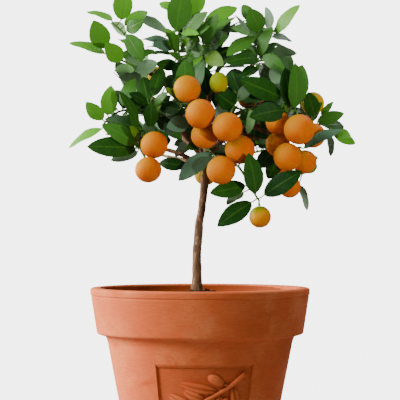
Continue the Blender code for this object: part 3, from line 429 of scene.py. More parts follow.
def smooth_way(points, cuts):
    """A smooth line through the points: Catmull-Rom, with cuts new points in each stretch."""
    ends = [points[0] * 2 - points[1]] + list(points) + [points[-1] * 2 - points[-2]]
    way = [points[0]]
    for a, b, c, d in zip(ends, ends[1:], ends[2:], ends[3:]):
        for cut in range(1, cuts + 1):
            t = cut / cuts
            way.append((b * 2 + (c - a) * t + (a * 2 - b * 5 + c * 4 - d) * t * t
                        + (b * 3 - a - c * 3 + d) * t ** 3) / 2)
    return way


def grow_rod(shape, points, radii, sides):
    """A closed rod: a circle at the first point, drawn on from point to point."""
    ring = bmesh.ops.create_circle(shape, cap_ends=True, segments=sides, radius=1.0)["verts"]
    grown = set(ring)
    unit = [vert.co.copy() for vert in ring]
    turn = Quaternion()
    before = Vector((0, 0, 1))
    for i, (point, radius) in enumerate(zip(points, radii)):
        if i:
            rim = [shape.edges.get((ring[k - 1], ring[k])) for k in range(sides)]
            made = bmesh.ops.extrude_edge_only(shape, edges=rim)["geom"]
            fresh = {item for item in made if isinstance(item, bmesh.types.BMVert)}
            ring = [next(e.other_vert(v) for e in v.link_edges if e.other_vert(v) in fresh) for v in ring]
            grown |= fresh
        along = (points[min(i + 1, len(points) - 1)] - points[max(i - 1, 0)]).normalized()
        turn = before.rotation_difference(along) @ turn
        before = along
        for vert, place in zip(ring, unit):
            vert.co = point + turn @ (place * radius)
    shape.faces.new(ring)
    bmesh.ops.recalc_face_normals(shape, faces=list({face for vert in grown for face in vert.link_faces}))
    return grown


sprig_shape = bmesh.new()
line = smooth_way([on_panel(x, z, SPRIG_LIFT) for x, z in SPRIG_TWIG], 5)
tapers = [SPRIG_THICK - SPRIG_TAPER * (i / len(line)) ** 0.5 for i in range(len(line))]
grow_rod(sprig_shape, line, [SPRIG_TWIG_R * taper * MM for taper in tapers], sides=12)
stalk = [on_panel(x, z, SPRIG_STALK_LIFT) for x, z in SPRIG_STALK]
grow_rod(sprig_shape, stalk, [radius * MM for radius in SPRIG_STALK_R], sides=8)
for x0, z0, x1, z1, wide in SPRIG_LEAVES:
    ball = bmesh.ops.create_uvsphere(sprig_shape, u_segments=20, v_segments=14, radius=1.0)["verts"]
    across = Vector((z0 - z1, x1 - x0)).normalized()
    for vert in ball:
        u = (1 - vert.co.z) / 2
        side, rise = vert.co.x, vert.co.y
        aside = side * wide / 2 + math.sin(math.pi * u) * LEAF_BOW
        x = x0 + (x1 - x0) * u + across.x * aside
        z = z0 + (z1 - z0) * u + across.y * aside
        crease = 1 - CREASE * math.exp(-(side / CREASE_HALF) ** 2) * (rise > 0)
        vert.co = on_panel(x, z, rise * RELIEF_HIGH * crease - LEAF_SUNK)
for x, z, long, wide, lean in SPRIG_OLIVES:
    ball = bmesh.ops.create_uvsphere(sprig_shape, u_segments=20, v_segments=14, radius=1.0)["verts"]
    tilt = math.radians(lean)
    for vert in ball:
        side, up = vert.co.x * wide / 2, vert.co.z * long / 2
        rise = vert.co.y * wide / 2 * OLIVE_FLAT
        vert.co = on_panel(x + side * math.cos(tilt) + up * math.sin(tilt),
                           z + up * math.cos(tilt) - side * math.sin(tilt), rise + OLIVE_LIFT)
bmesh.ops.recalc_face_normals(sprig_shape, faces=sprig_shape.faces)
# Painted shade: the relief is painted darker towards the panel's ground
mark_layer = sprig_shape.verts.layers.float_color.new("marks")
for vert in sprig_shape.verts:
    lift = math.hypot(vert.co.x, vert.co.y) / MM - body_radius(vert.co.z / MM) + PANEL_DEEP
    vert[mark_layer] = (min(max(1 - lift / CREVICE_SHADE_HIGH, 0), 1), 0, 0, 1)
sprig = new_piece("sprig_relief", sprig_shape, terracotta)
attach(sprig, "root")
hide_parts("pot")


# Soil: moist potting compost, heaped a little round the stem. It is loose, and crumbs, bits of bark and a few
# white grains lie on it. Sizes are mm.

GAP = 0.3
SOIL_MOUND = 207.6
SOIL_EDGE = 196.0
SOIL_STEPS = 120
CRUMBS = 620
CRUMBS_FROM = 0.004       # share of the surface round its middle that stays without them
CRUMB_SIZE = (0.9, 2.3)
CRUMB_FORM = (0.7, 1.2)
CRUMB_TILT = 0.4          # radians
CRUMB_SUNK = 0.4
CRUMB_ROUGH = 0.5         # how uneven a crumb is, as a share of its size
CRUMB_FINE = 1.7
CRUMB_UNLIKE = 900        # how unlike one another the crumbs are
SOIL_ROUGH = ((190, 1.3), (520, 0.8))   # how fine the surface's unevenness is, and how high
SOIL_SUNK = 0.8           # how far it is lowered
BARK_BITS = 0.12          # share of the crumbs that are long bits of bark
BARK_FORM = (2.4, 0.7, 0.45)
GRAINS = 0.05             # share that are white grains
GRAINS_OFF = 34           # how far from the stem the white grains start
SOIL_CLOUDS = (0.004, 0.35, 0.65)
SOIL_GRIT = (0.0011, 0.3, 0.7)
SOIL_DARK = (0.020, 0.011, 0.006, 1)
SOIL_BROWN = (0.075, 0.040, 0.020, 1)
SOIL_BARK = (0.16, 0.075, 0.032, 1)
SOIL_GRAIN = (0.62, 0.58, 0.50, 1)


def inner_radius(z):
    """Radius of the pot's inner wall at a height."""
    for (r0, z0), (r1, z1) in zip(INNER_WALL, INNER_WALL[1:]):
        if z <= z1:
            return r0 + (r1 - r0) * (z - z0) / (z1 - z0)
    return INNER_WALL[-1][0]


SOIL_TOP = [(0, SOIL_MOUND), (13, SOIL_MOUND - 0.4), (26, SOIL_MOUND - 3.6), (62, SOIL_MOUND - 8.4),
            (inner_radius(SOIL_EDGE) - GAP, SOIL_EDGE)]


def soil_height(out):
    """Height of the soil at a distance from the pot's axis."""
    for (r0, z0), (r1, z1) in zip(SOIL_TOP, SOIL_TOP[1:]):
        if out <= r1:
            return z0 + (z1 - z0) * (out - r0) / (r1 - r0)
    return SOIL_EDGE


soil, tree, shader = new_material("compost", roughness=0.95, specular=0.05)
bits = painted(tree, "bits")
colour = mixed(tree, cloudy(tree, *SOIL_CLOUDS), SOIL_DARK, SOIL_BROWN)
colour = mixed(tree, bits[0], colour, SOIL_BARK)
colour = mixed(tree, bits[1], colour, SOIL_GRAIN)
tree.links.new(colour, shader.inputs["Base Color"])
bumped(tree, shader, cloudy(tree, *SOIL_GRIT), strength=0.8, distance=0.0006)

soil_low = FLOOR_THICK + GAP
soil_profile = SOIL_TOP + [(inner_radius(BODY_TOP) - GAP, BODY_TOP), (inner_radius(soil_low) - GAP, soil_low),
                           (0, soil_low)]
soil_shape = outline_shape(soil_profile, (1, 2, 3), radius=3.0)
full_turn(soil_shape, SOIL_STEPS)
for vert in soil_shape.verts:
    out = math.hypot(vert.co.x, vert.co.y) / MM
    if vert.co.z > (SOIL_EDGE - 1) * MM:
        rough = sum(noise.noise(vert.co * fine) * high for fine, high in SOIL_ROUGH)
        vert.co.z += (rough - SOIL_SUNK) * MM
bit_layer = soil_shape.verts.layers.float_color.new("bits")
for vert in soil_shape.verts:
    vert[bit_layer] = (0, 0, 0, 1)
dice = random.Random(5)
for number in range(CRUMBS):
    out = math.sqrt(dice.uniform(CRUMBS_FROM, 1)) * (inner_radius(SOIL_EDGE) - 3)
    around = dice.uniform(0, 2 * math.pi)
    ball = bmesh.ops.create_icosphere(soil_shape, subdivisions=1, radius=1.0)["verts"]
    kind = dice.random()
    size = dice.uniform(*CRUMB_SIZE)
    form = Vector([dice.uniform(*CRUMB_FORM) * size for axis in range(3)])
    if kind < BARK_BITS:
        form = Vector([size * share for share in BARK_FORM])
    turn = Matrix.Rotation(dice.uniform(0, 2 * math.pi), 4, "Z")
    turn = turn @ Matrix.Rotation(dice.uniform(-CRUMB_TILT, CRUMB_TILT), 4, "X")
    place = Vector((out * math.cos(around), out * math.sin(around), soil_height(out) - CRUMB_SUNK)) * MM
    for vert in ball:
        push = 1 + noise.noise(vert.co * CRUMB_FINE + place * CRUMB_UNLIKE) * CRUMB_ROUGH
        vert.co = place + turn @ Vector([vert.co[axis] * form[axis] * push * MM for axis in range(3)])
        is_grain = kind > 1 - GRAINS and out > GRAINS_OFF
        vert[bit_layer] = (float(kind < BARK_BITS), float(is_grain), 0, 1)
ground = new_piece("compost_top", soil_shape, soil)
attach(ground, "root")
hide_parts("soil")


# Trunk: one grown piece of brown wood, the bare stem with its branches. The bark is fissured along the stem,
# and the branches leave it with small collars. Each row is x, depth and z as seen from the front, and the
# radius, in mm.

STEM_X = -3.5
STEM_FOOT = 150.0
STEM_FOOT_R = 6.6

STEM = [
    (STEM_X, 0, STEM_FOOT, STEM_FOOT_R), (STEM_X, 0, 208.6, STEM_FOOT_R), (-3.4, 0, 213, 5.9),
    (-3.4, 0, 230, 5.2), (-3.2, 0, 251, 4.9), (-2, 0, 265, 4.8), (-0.8, 1, 280, 4.4), (1.2, 1, 292, 4.3),
    (3, 0, 305, 4.2), (4.6, 0, 320, 4.6), (5.4, 0, 333, 4.6), (5.4, 0, 346, 5.0), (4.6, 1, 360, 4.3),
]
BRANCHES = {
    "crown_top": [(4.4, 1, 356, 4.2), (0, 4, 380, 3.6), (-6, 2, 410, 3.0), (-14, -2, 436, 2.4),
                  (-20, -8, 455, 1.8)],
    "left_high": [(-3, 3, 395, 2.8), (-22, -8, 415, 2.5), (-40, -17, 433, 2.4), (-53, -21, 446, 2.0),
                  (-60, -23, 452, 1.7)],
    "left_upper": [(-45, -18, 438, 2.0), (-54, -27, 443, 1.8), (-62, -32, 447, 1.7)],
    "crown_top_right": [(4, 1, 366, 3.0), (10, 1, 395, 2.6), (9, -4, 425, 2.2), (6, -8, 440, 1.7)],
    "right_high": [(5, 2, 358, 3.6), (24, 6, 392, 3.0), (42, 4, 424, 2.5), (54, -2, 448, 2.0),
                   (60, -6, 460, 1.7)],
    "right_upper": [(46, 2, 432, 2.0), (53, -12, 445, 1.8), (58, -22, 452, 1.7)],
    "right_mid": [(5, -1, 351, 3.6), (28, -14, 374, 3.1), (56, -26, 386, 2.6), (74, -34, 390, 2.1),
                  (82, -38, 392, 1.7)],
    "right_tip": [(56, -26, 386, 2.2), (75, -15, 379, 1.9), (90, -10, 377, 1.7)],
    "right_low": [(42, -20, 380, 2.3), (62, -24, 372, 2.0), (80, -26, 366, 1.7)],
    "hanging": [(5, -2, 346, 3.0), (20, -22, 352, 2.6), (33, -39, 348, 2.1), (40, -46, 343, 1.7)],
    "front_right": [(5, -2, 352, 3.0), (10, -20, 367, 2.6), (16, -34, 380, 2.1), (22, -42, 392, 1.7)],
    "front_left": [(9, -18, 366, 2.2), (0, -29, 384, 1.9), (-8, -38, 400, 1.7)],
    "front_low": [(5, -2, 348, 2.4), (2, -17, 357, 2.0), (1, -28, 362, 1.7)],
    "left_low": [(4, 0, 340, 3.0), (-14, -14, 352, 2.5), (-35, -28, 360, 2.1), (-55, -40, 362, 1.7)],
    "left_inner": [(-26, -12, 384, 2.0), (-32, -22, 391, 1.8), (-37, -28, 395, 1.7)],
    "left_tip": [(4, 0, 352, 3.2), (-20, -8, 380, 2.7), (-40, -20, 394, 2.2), (-58, -30, 400, 1.7)],
    "back_top": [(4, 2, 364, 2.8), (6, 26, 394, 2.3), (8, 46, 420, 1.7)],
    "back_left": [(4, 2, 356, 2.8), (-22, 28, 376, 2.3), (-44, 46, 390, 1.7)],
    "back_right": [(6, 2, 356, 2.8), (32, 30, 378, 2.3), (56, 48, 392, 1.7)],
    "back_low": [(5, 2, 346, 2.8), (8, 24, 360, 2.3), (8, 42, 367, 1.7)],
    "left_back": [(-3, 4, 392, 2.4), (-30, 15, 406, 2.0), (-54, 18, 418, 1.7)],
    "right_back": [(24, 6, 392, 2.3), (50, 22, 404, 2.0), (72, 28, 416, 1.7)],
    "top_back": [(-5, 3, 408, 2.3), (0, 20, 434, 2.0), (4, 30, 450, 1.7)],
    "low_left_back": [(4, 1, 341, 2.6), (-18, 25, 349, 2.1), (-36, 42, 353, 1.7)],
    "low_right_back": [(6, 1, 343, 2.6), (30, 28, 351, 2.1), (50, 42, 355, 1.7)],
}

FISSURE = 0.36            # depth of the bark's fissures
FISSURE_FINE = 520
FISSURE_LONG = 0.3        # heights count this much, so that they run along the stem
FISSURE_HALF = 0.12       # where in the noise a fissure's edge lies
KNOB = 0.5                # height of its knobs
KNOB_FINE = 110
THIN_FROM = 0.35          # metres up; from here the wood is thin and both are half as high
COLLAR_SWELL = 0.35       # how much thicker a branch is where it leaves, as a share
COLLAR_LONG = 9           # steps along the branch in which most of that fades
STEM_FORM = (16, 26)      # steps from one row of the table to the next, and sides
BRANCH_FORM = (12, 16)
BARK_CLOUDS = (0.006, 0.36, 0.66, 0.35)
BARK_WORN = (0.0035, 0.54, 0.72, 0.5, 4.0)
BARK_STREAKS = (0.0016, 0.32, 0.68, 0.22, 2.0)
BARK_FLAKES = (0.0011, 0.35, 0.65, 1.0, 9.0)
BARK_DARK = (0.085, 0.046, 0.026, 1)
BARK_BROWN = (0.175, 0.088, 0.042, 1)
BARK_PALE = (0.29, 0.175, 0.095, 1)


def seen(x, y, z):
    """The point at depth y that shows at x, z, in mm, on the upright plane through the pot's axis."""
    scale = (EYE_AWAY + y) / EYE_AWAY
    return Vector((x * scale, y, EYE_HIGH + (z - EYE_HIGH) * scale)) * MM


bark, tree, shader = new_material("bark", roughness=0.86, specular=0.15)
colour = mixed(tree, cloudy(tree, *BARK_CLOUDS), BARK_BROWN, BARK_DARK)
colour = mixed(tree, cloudy(tree, *BARK_WORN), colour, BARK_PALE)
tree.links.new(colour, shader.inputs["Base Color"])
height = summed(tree, cloudy(tree, *BARK_STREAKS), cloudy(tree, *BARK_FLAKES), share=0.5)
bumped(tree, shader, height, strength=0.7, distance=0.0005)

limbs = bpy.data.collections.new("limbs")
for name, rows in {"stem": STEM, **BRANCHES}.items():
    steps, sides = STEM_FORM if rows is STEM else BRANCH_FORM
    line = smooth_way([seen(x, y, z) for x, y, z, r in rows], steps)
    sizes = [size.x for size in smooth_way([Vector((r * MM, 0)) for x, y, z, r in rows], steps)]
    if rows is not STEM:
        sizes = [size * (1 + COLLAR_SWELL * math.exp(-i / COLLAR_LONG)) for i, size in enumerate(sizes)]
    limb_shape = bmesh.new()
    grow_rod(limb_shape, line, sizes, sides)
    limb = new_piece(f"limb_{name}", limb_shape, bark)
    if rows is STEM:
        trunk = limb
    else:
        limbs.objects.link(limb)
grown = trunk.modifiers.new("grown_together", "BOOLEAN")
grown.operation = "UNION"
grown.solver = "MANIFOLD"
grown.operand_type = "COLLECTION"
grown.collection = limbs
swell = trunk.modifiers.new("collars", "SMOOTH")
swell.factor = 0.5
swell.iterations = 2
baked(trunk)
for limb in list(limbs.objects):
    bpy.data.objects.remove(limb)
bpy.data.collections.remove(limbs)
trunk.name = "bark_trunk"
for vert in trunk.data.vertices:
    drawn = Vector((vert.co.x, vert.co.y, vert.co.z * FISSURE_LONG))
    crack = abs(noise.noise(drawn * FISSURE_FINE))
    knob = noise.noise(vert.co * KNOB_FINE)
    thick = 1.0 if vert.co.z < THIN_FROM else 0.5
    vert.co += vert.normal * ((FISSURE_HALF - crack) * FISSURE * 2 + knob * KNOB) * thick * MM
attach(trunk, "root")
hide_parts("trunk")


# Leafy shoots: green twigs that go on from the branch of the same name, with leathery, glossy leaves. A leaf
# sits on a short stalk, folded a little along its middle. Places are as seen from the front, in mm.

TWIG_R = 1.5
TWIG_TIP_R = 1.0
TWIG_START = 4.0     # length of a twig's straight start, in line with its branch
TWIG_END = 1.5       # bare length at a twig's end
BLADE_THICK = 1.3    # of the plain solid, which the others keep clear of
PETIOLE_R = 0.75
PETIOLE_THICK = 1.1  # thickness of a leaf's stalk where it starts, as a share
PETIOLE_TAPER = 0.5  # how much of that it loses
PETIOLE_SAG = 0.4
PETIOLE_INTO = 0.06  # how far it reaches into the blade, as a share of the blade's length
PETIOLE_LEAST = 5.0
LEAF_LONG = (37.0, 53.0)
LEAF_WIDE = 0.46     # of the length
LEAF_MOST = 60.0
STALK_R = 0.9
CALYX_R = 2.7
CALYX_THICK = 2.0
CALYX_LOBES = 5
CALYX_NOTCH = 0.62   # how far in the calyx reaches between its lobes
CALYX_TALL = 1.6
CALYX_UP = 0.6       # height of its middle over the fruit's top
CALYX_TOP_R = 0.3    # its radius at the stalk, as a share
STALK_SWELL = 1.2    # how much thicker the stalk is where it ends in the calyx
FRUIT_TOP = 0.975    # height of the flat under the calyx, as a share of the half height

# Rings of a blade's plain solid, as shares of its length, and its form
RINGS = (0.17, 0.46, 0.8)
FRONT_ARCH = 0.07    # rise of the middle, as a share of the length
BACK_ARCH = (0.05, 0.11)
FRONT_FOLD = 14.0    # degrees that each half stands up from flat
BACK_FOLD = (8.0, 20.0)

# Leaves by rule
SEED = 11
LEAF_AROUND = 137.5  # degrees from one leaf to the next round the twig
LEAF_ASIDE = 75.0    # degrees further at each new attempt
ATTEMPTS = 5
PETIOLE_LONG = (6.0, 9.0)
LEAF_LEAN = (0.35, 0.9)   # share of the twig's own direction in the leaf's
LEAF_LIFT = (-0.1, 0.5)
OUTWARD = 4.0        # how much further out, per metre from the axis, a blade's upper side turns
LEAF_STRAY = 20      # degrees by which a leaf may stray from its turn
LEAF_FIRST = 0.7     # where the first leaf stands, as a share of the distance from one to the next
FRONT_LEAST = -0.2   # leaves of a front shoot that point further to the front are turned to the back
PETIOLE_ALONG = 0.4  # how far a leaf's stalk leans along the twig
UPPER_OUT = 0.3      # how far the upper side turns away from the twig

# Growing: room kept round each blade, and the ways in which a leaf is bent to find it
CLEAR = 0.7          # mm
TRIES_MOST = 500
SIZES = (1.0, 0.9, 0.8)
TURNS = (0, 14, -14, 28, -28)           # degrees about its length
SWINGS = (0, 7, -7, 14, -14)            # degrees across the view
PUSHES = (0, -6, 6, -12, 12, -19, 19, -27, 27)   # mm deeper at the tip
LIFTS = (0, 4, 9)                       # mm more stalk
SHOOTS = {
    "left_high": [[(-67, -24, 459), (-73, -26, 470), (-79, -28, 482), (-88, -31, 492), (-96, -34, 499)]],
    "left_upper": [[(-75, -38, 453), (-90, -42, 460), (-102, -44, 466)]],
    "crown_top": [[(-23, -12, 466), (-24, -17, 480), (-22, -22, 494), (-19, -26, 506)]],
    "crown_top_right": [[(4, -12, 455), (3, -16, 470), (4, -20, 484), (5, -24, 496)]],
    "right_high": [[(64, -10, 470), (70, -14, 482), (75, -17, 491)],
                   [(68, -12.5, 478), (65, -16, 487), (60, -18, 496)]],
    "right_upper": [[(64, -28, 457), (71, -31, 457), (77, -33, 452)]],
    "right_mid": [[(90, -44, 398), (98, -50, 403), (107, -54, 402)],
                  [(95, -48, 401), (92, -52, 408), (91, -54, 415)]],
    "right_tip": [[(104, -8, 380), (118, -8, 386), (132, -12, 388), (146, -16, 381)],
                  [(119, -8, 386), (121, -16, 390), (123, -24, 395)]],
    "right_low": [[(90, -27, 360), (100, -29, 351), (108, -32, 342), (112, -34, 333)],
                  [(94, -28, 357), (104, -44, 362), (110, -56, 363)]],
    "hanging": [[(50, -50, 330), (56, -52, 318), (61, -54, 310), (65, -55, 304)]],
    "front_right": [[(30, -48, 402), (38, -52, 410), (44, -54, 419)],
                    [(36, -51, 408), (46, -54, 404), (54, -56, 406)]],
    "front_left": [[(-14, -42, 408), (-22, -46, 412), (-30, -48, 415)]],
    "front_low": [[(5, -38, 361), (12, -44, 359)]],
    "left_low": [[(-62, -42, 362), (-68, -44, 364), (-73, -45, 368)],
                 [(-67, -44, 363.5), (-66, -45, 374), (-64, -46, 383)],
                 [(-60, -41.5, 362), (-54, -40, 350), (-48, -40, 345)]],
    "left_inner": [[(-44, -34, 399), (-52, -38, 404), (-56, -40, 411)]],
    "left_tip": [[(-72, -36, 404), (-88, -40, 402), (-100, -42, 394), (-106, -43, 387)]],
    "back_top": [[(9, 58, 438), (10, 70, 456), (8, 84, 470)]],
    "back_left": [[(-56, 58, 400), (-68, 72, 408), (-76, 90, 414)]],
    "back_right": [[(70, 60, 402), (84, 72, 408), (96, 86, 412)]],
    "back_low": [[(8, 62, 373), (6, 84, 377), (2, 104, 377)],
                 [(8, 52, 370), (7, 42, 361), (7, 33, 354)]],
    "left_back": [[(-66, 22, 425), (-76, 28, 430)]],
    "right_back": [[(86, 34, 424), (98, 42, 429)]],
    "top_back": [[(8, 38, 468), (10, 44, 484), (6, 52, 498)]],
    "low_left_back": [[(-50, 54, 357), (-62, 68, 361), (-70, 84, 363)]],
    "low_right_back": [[(66, 54, 359), (82, 66, 361), (94, 78, 363)]],
}

# Leaves that show from the front, each as seen there, in mm: x and z where the blade starts, x and z of its
# tip, the width that shows, below 0 where the underside faces the viewer, and how much deeper the tip lies
LEAVES = {
    "left_high": [
        (-96, 501, -124, 512, 8, 22), (-86, 502, -82, 537, 20, -14), (-82, 496, -57, 512, 13, 18),
        (-80, 490, -62, 501, 14, -24), (-80, 486, -97, 499, -10, 20), (-79, 486, -63, 458, 17, -14),
        (-76, 474, -89, 482, 8, 26),
    ],
    "left_upper": [
        (-104, 465, -143, 478, 10, 12), (-104, 471, -116, 501, 21, -20), (-86, 457, -103, 476, 18, -26),
        (-72, 449, -93, 447, -9, 20), (-70, 446, -46, 456, -14, -14),
    ],
    "crown_top": [
        (-26, 490, -18, 537, 25, -12), (-16, 505, 3, 536, 22, 8), (-20, 482, 8, 511, 14, -18),
        (-33, 487, -73, 507, -9, 6), (-32, 477, -63, 482, 8, 14), (-30, 470, -60, 473, 6, 22),
        (-30, 464, -57, 466, 5, 10), (-28, 511, -44, 522, 10, 18), (-18, 480, 10, 496, 13, -26),
        (-15, 474, 5, 470, -9, -16), (-24, 452, -48, 454, 12, -14), (-15, 464, -4, 485, 9, -24),
        (-24, 468, -32, 488, 8, -26),
    ],
    "crown_top_right": [
        (5, 498, 41, 516, 15, 6), (3, 476, 19, 508, 14, -12), (12, 472, 32, 489, 12, 16),
        (14, 465, 27, 484, 9, 24), (6, 465, 25, 453, 16, -24), (0, 458, -12, 444, 10, -22),
    ],
    "right_high": [
        (65, 489, 55, 514, 20, -16), (59, 499, 46, 519, 13, 14), (76, 490, 72, 516, -9, 16),
        (79, 488, 105, 520, 12, -10), (80, 490, 96, 498, -7, 20), (79, 483, 101, 480, 8, 22),
        (76, 467, 106, 466, -10, -10), (58, 489, 30, 490, 7, 18), (60, 484, 29, 463, 14, -20),
        (72, 474, 97, 472, 5, 16),
    ],
    "right_upper": [
        (64, 460, 27, 456, 14, -12), (69, 463, 92, 448, 14, -14), (63, 450, 45, 442, 10, -18),
        (77, 448, 87, 432, -11, -14),
    ],
    "right_mid": [
        (99, 407, 93, 450, 18, -14), (104, 406, 103, 453, 18, 6), (88, 418, 44, 437, 21, -10),
        (93, 404, 55, 396, 21, -18),
    ],
    "right_tip": [
        (125, 397, 118, 423, 16, -12), (128, 391, 157, 400, 13, -10), (134, 387, 158, 386, 12, 22),
        (134, 396, 145, 414, 7, 14), (149, 380, 164, 375, 10, -20), (146, 377, 170, 367, 11, 8),
        (140, 376, 144, 353, -7, -14),
    ],
    "right_low": [
        (113, 362, 155, 383, 10, -4), (108, 322, 118, 294, -7, -8), (115, 335, 129, 345, 11, -22),
        (112, 348, 130, 353, 9, -14), (82, 360, 62, 341, 17, 6), (86, 352, 74, 328, 15, 10),
        (80, 367, 60, 369, 6, -10),
    ],
    "hanging": [
        (49.5, 321, 11, 313, 17, -12), (56, 303, 19, 277, 19, -16), (61, 313, 53, 356, 20, -26),
        (70, 311, 111, 337, 20, -14), (47, 314, 29, 301, -9, 18),
    ],
    "front_right": [
        (38, 408, 20, 421, 19, -10), (55, 404, 53, 377, -9, -8), (43, 424, 34, 446, 14, 12),
        (48, 418, 64, 430, 14, 8),
    ],
    "front_left": [(-22, 404, -47, 409, 13, 8), (-12, 391, -36, 385, 17, -16), (-26, 416, -37, 428, 8, -16)],
    "front_low": [(13, 357, -23.5, 327, 18, -14), (-1, 367, -14, 362, 10, -18)],
    "left_low": [
        (-70, 361, -123, 364, 21, -12), (-68, 366, -107, 388, 17, -8), (-67, 384, -104, 394, 15, 6),
        (-68, 358, -97, 349, -12, 8), (-70, 368, -104, 379, 7, 16), (-66, 370, -76, 386, 7, -18),
        (-44, 346, -13, 343, 13, -6),
    ],
    "left_inner": [
        (-54, 385, -53, 412, 15, -14), (-40, 389, -20, 372, 12, -12), (-50, 409, -36, 423, 8, -12),
        (-57, 414, -62, 440, 17, 10),
    ],
    "left_tip": [
        (-106, 393, -124, 412, 15, -16), (-101, 398, -97, 430, 17, -14), (-107, 383, -144, 363, 9, 12),
        (-85, 408, -71, 439, 14, 14), (-64, 405, -83, 414, 14, -18), (-84, 405, -91, 423, 8, 26),
    ],
}

# The shade of each of those leaves, in the same order, with painted light and shade in it: D dark, painted
# shade; M middle; B bright, painted light; P pale, a painted highlight; O olive; Y yellowing; G grey-blue, a
# painted sheen
TONES = {
    "left_high": "BBBMBMB", "left_upper": "BBBBG", "crown_top": "MBMGGMMBMPDBM", "crown_top_right": "BMMMOM",
    "right_high": "MMGPGGDMMM", "right_upper": "DMDG", "right_mid": "DMDD", "right_tip": "DMDBBBG",
    "right_low": "GGBMDDM", "hanging": "DDDDG", "front_right": "DPDD", "front_left": "DGO", "front_low": "GD",
    "left_low": "DMDGYOD", "left_inner": "DDMD", "left_tip": "BBBMDD",
}
# How many more leaves each shoot carries, placed by rule: on the front shoots they point to the back, and on
# the others they stand all round
MORE_LEAVES = {
    "left_high": 3, "left_upper": 3, "crown_top": 4, "crown_top_right": 4, "right_high": 4,
    "right_upper": 4, "right_mid": 4, "right_tip": 4, "right_low": 5, "hanging": 1, "front_right": 5,
    "front_left": 4, "front_low": 2, "left_low": 4, "left_inner": 4, "left_tip": 4, "back_top": 12,
    "back_left": 12, "back_right": 12, "back_low": 13, "left_back": 9, "right_back": 9, "top_back": 12,
    "low_left_back": 11, "low_right_back": 11,
}

# Crown's outline as seen from the front, in mm: the tip of a leaf by rule stays inside this oval
CROWN_MIDDLE = (10, 424)
CROWN_HALF = (116, 88)

# Each fruit: x, depth and z of its middle as seen from the front, width, height over width, and its shoot
FRUITS = [
    (-14, -62, 426.5, 30, 0.97, "front_left"), (0.5, -76, 399.5, 33, 0.96, "front_left"),
    (5, -54, 376, 30, 0.96, "front_low"), (30, -84, 385, 33, 0.96, "front_right"),
    (43.5, -60, 360.5, 33, 0.95, "hanging"), (23, -75, 338, 32, 0.95, "front_low"),
    (108.5, -84, 382.5, 34, 0.95, "right_mid"), (123, -34, 376, 28, 0.96, "right_tip"),
    (85, -62, 390, 27, 0.97, "right_mid"), (95.5, -72, 352.5, 31, 0.95, "right_low"),
    (85, -46, 366, 27, 0.96, "right_low"), (114, -48, 347, 27, 0.96, "right_low"),
    (97.5, -45, 320, 25, 0.97, "right_low"), (65.5, -55, 287, 24, 1.0, "hanging"),
    (20.5, -50, 433, 20, 1.2, "front_right"), (123, -10, 411, 25, 0.97, "right_tip"),
    (-50, -70, 365.5, 30, 0.96, "left_low"), (-56.5, -77, 338.5, 29, 0.95, "left_low"),
    (52, -36, 416, 22, 0.97, "front_right"), (-47, 2, 441, 20, 0.97, "left_high"),
    (6, 19, 333, 24, 0.97, "back_low"),
    (-52, 84, 368, 28, 0.96, "back_left"), (100, 86, 384, 30, 0.95, "back_right"),
    (30, 98, 384, 31, 0.95, "back_low"), (-57, 76, 339, 27, 0.96, "low_left_back"),
    (90, 95, 348, 29, 0.95, "low_right_back"), (-14, 84, 427, 28, 0.97, "back_top"),
    (98, 58, 417, 24, 0.97, "right_back"),
]


def closed_loft(points, sides, rings, pointed):
    """Rings of points, one after another, closed by a cap and by a cap or a last single point."""
    faces = [tuple(range(sides))[::-1]]
    for ring in range(rings - 1):
        for side in range(sides):
            a = ring * sides + side
            b = ring * sides + (side + 1) % sides
            faces.append((a, b, b + sides))
            faces.append((a, b + sides, a + sides))
    last = (rings - 1) * sides
    if pointed:
        for side in range(sides):
            faces.append((last + side, last + (side + 1) % sides, rings * sides))
    else:
        faces.append(tuple(range(last, last + sides)))
    return points, faces


Grown = namedtuple("Grown", "owner kind tree low high")


def grown_solid(owner, kind, points, faces):
    """A solid to keep clear of; kind is body, twig or neck."""
    return Grown(owner, kind, BVHTree.FromPolygons(points, faces), *bounds_of(points))


def bounds_of(points):
    """The lowest and the highest corner of the points."""
    low = Vector([min(p[i] for p in points) for i in range(3)])
    high = Vector([max(p[i] for p in points) for i in range(3)])
    return low, high


def prism(points, radii, sides=6):
    """A rod as a chain of rings, for keeping clear of it."""
    ring_points = []
    for i, point in enumerate(points):
        along = (points[min(i + 1, len(points) - 1)] - points[max(i - 1, 0)]).normalized()
        across = along.orthogonal().normalized()
        for side in range(sides):
            turn = Quaternion(along, 2 * math.pi * side / sides)
            ring_points.append(point + turn @ across * radii[i])
    return closed_loft(ring_points, sides, len(points), pointed=False)


def ball(middle, radius, sides=12, rows=7):
    """A faceted ball, for keeping clear of it."""
    points = []
    for row in range(1, rows):
        down = math.pi * row / rows
        for side in range(sides):
            around = 2 * math.pi * side / sides
            points.append(middle + radius * Vector((
                math.sin(down) * math.cos(around), math.sin(down) * math.sin(around), math.cos(down))))
    return closed_loft(points, sides, rows - 1, pointed=False)


def touches(one, others):
    """Whether a new solid meets another. Necks of one shoot may meet each other and their twigs."""
    allowed = ("neck", "twig") if one.kind == "neck" else ("neck",)
    for other in others:
        if other.owner == one.owner and other.kind in allowed:
            continue
        apart = any(one.low[i] > other.high[i] or one.high[i] < other.low[i] for i in range(3))
        if not apart and one.tree.overlap(other.tree):
            return True
    return False


def outline(u):
    """Half width of a blade along its length, as a share of the greatest."""
    return math.sin(math.pi * u ** 0.9) ** 0.72


def leaf_frame(base, tip, up):
    """Unit vectors along a leaf, to its side and out of its upper face."""
    along = (tip - base).normalized()
    side = along.cross(up).normalized()
    return along, side, side.cross(along)


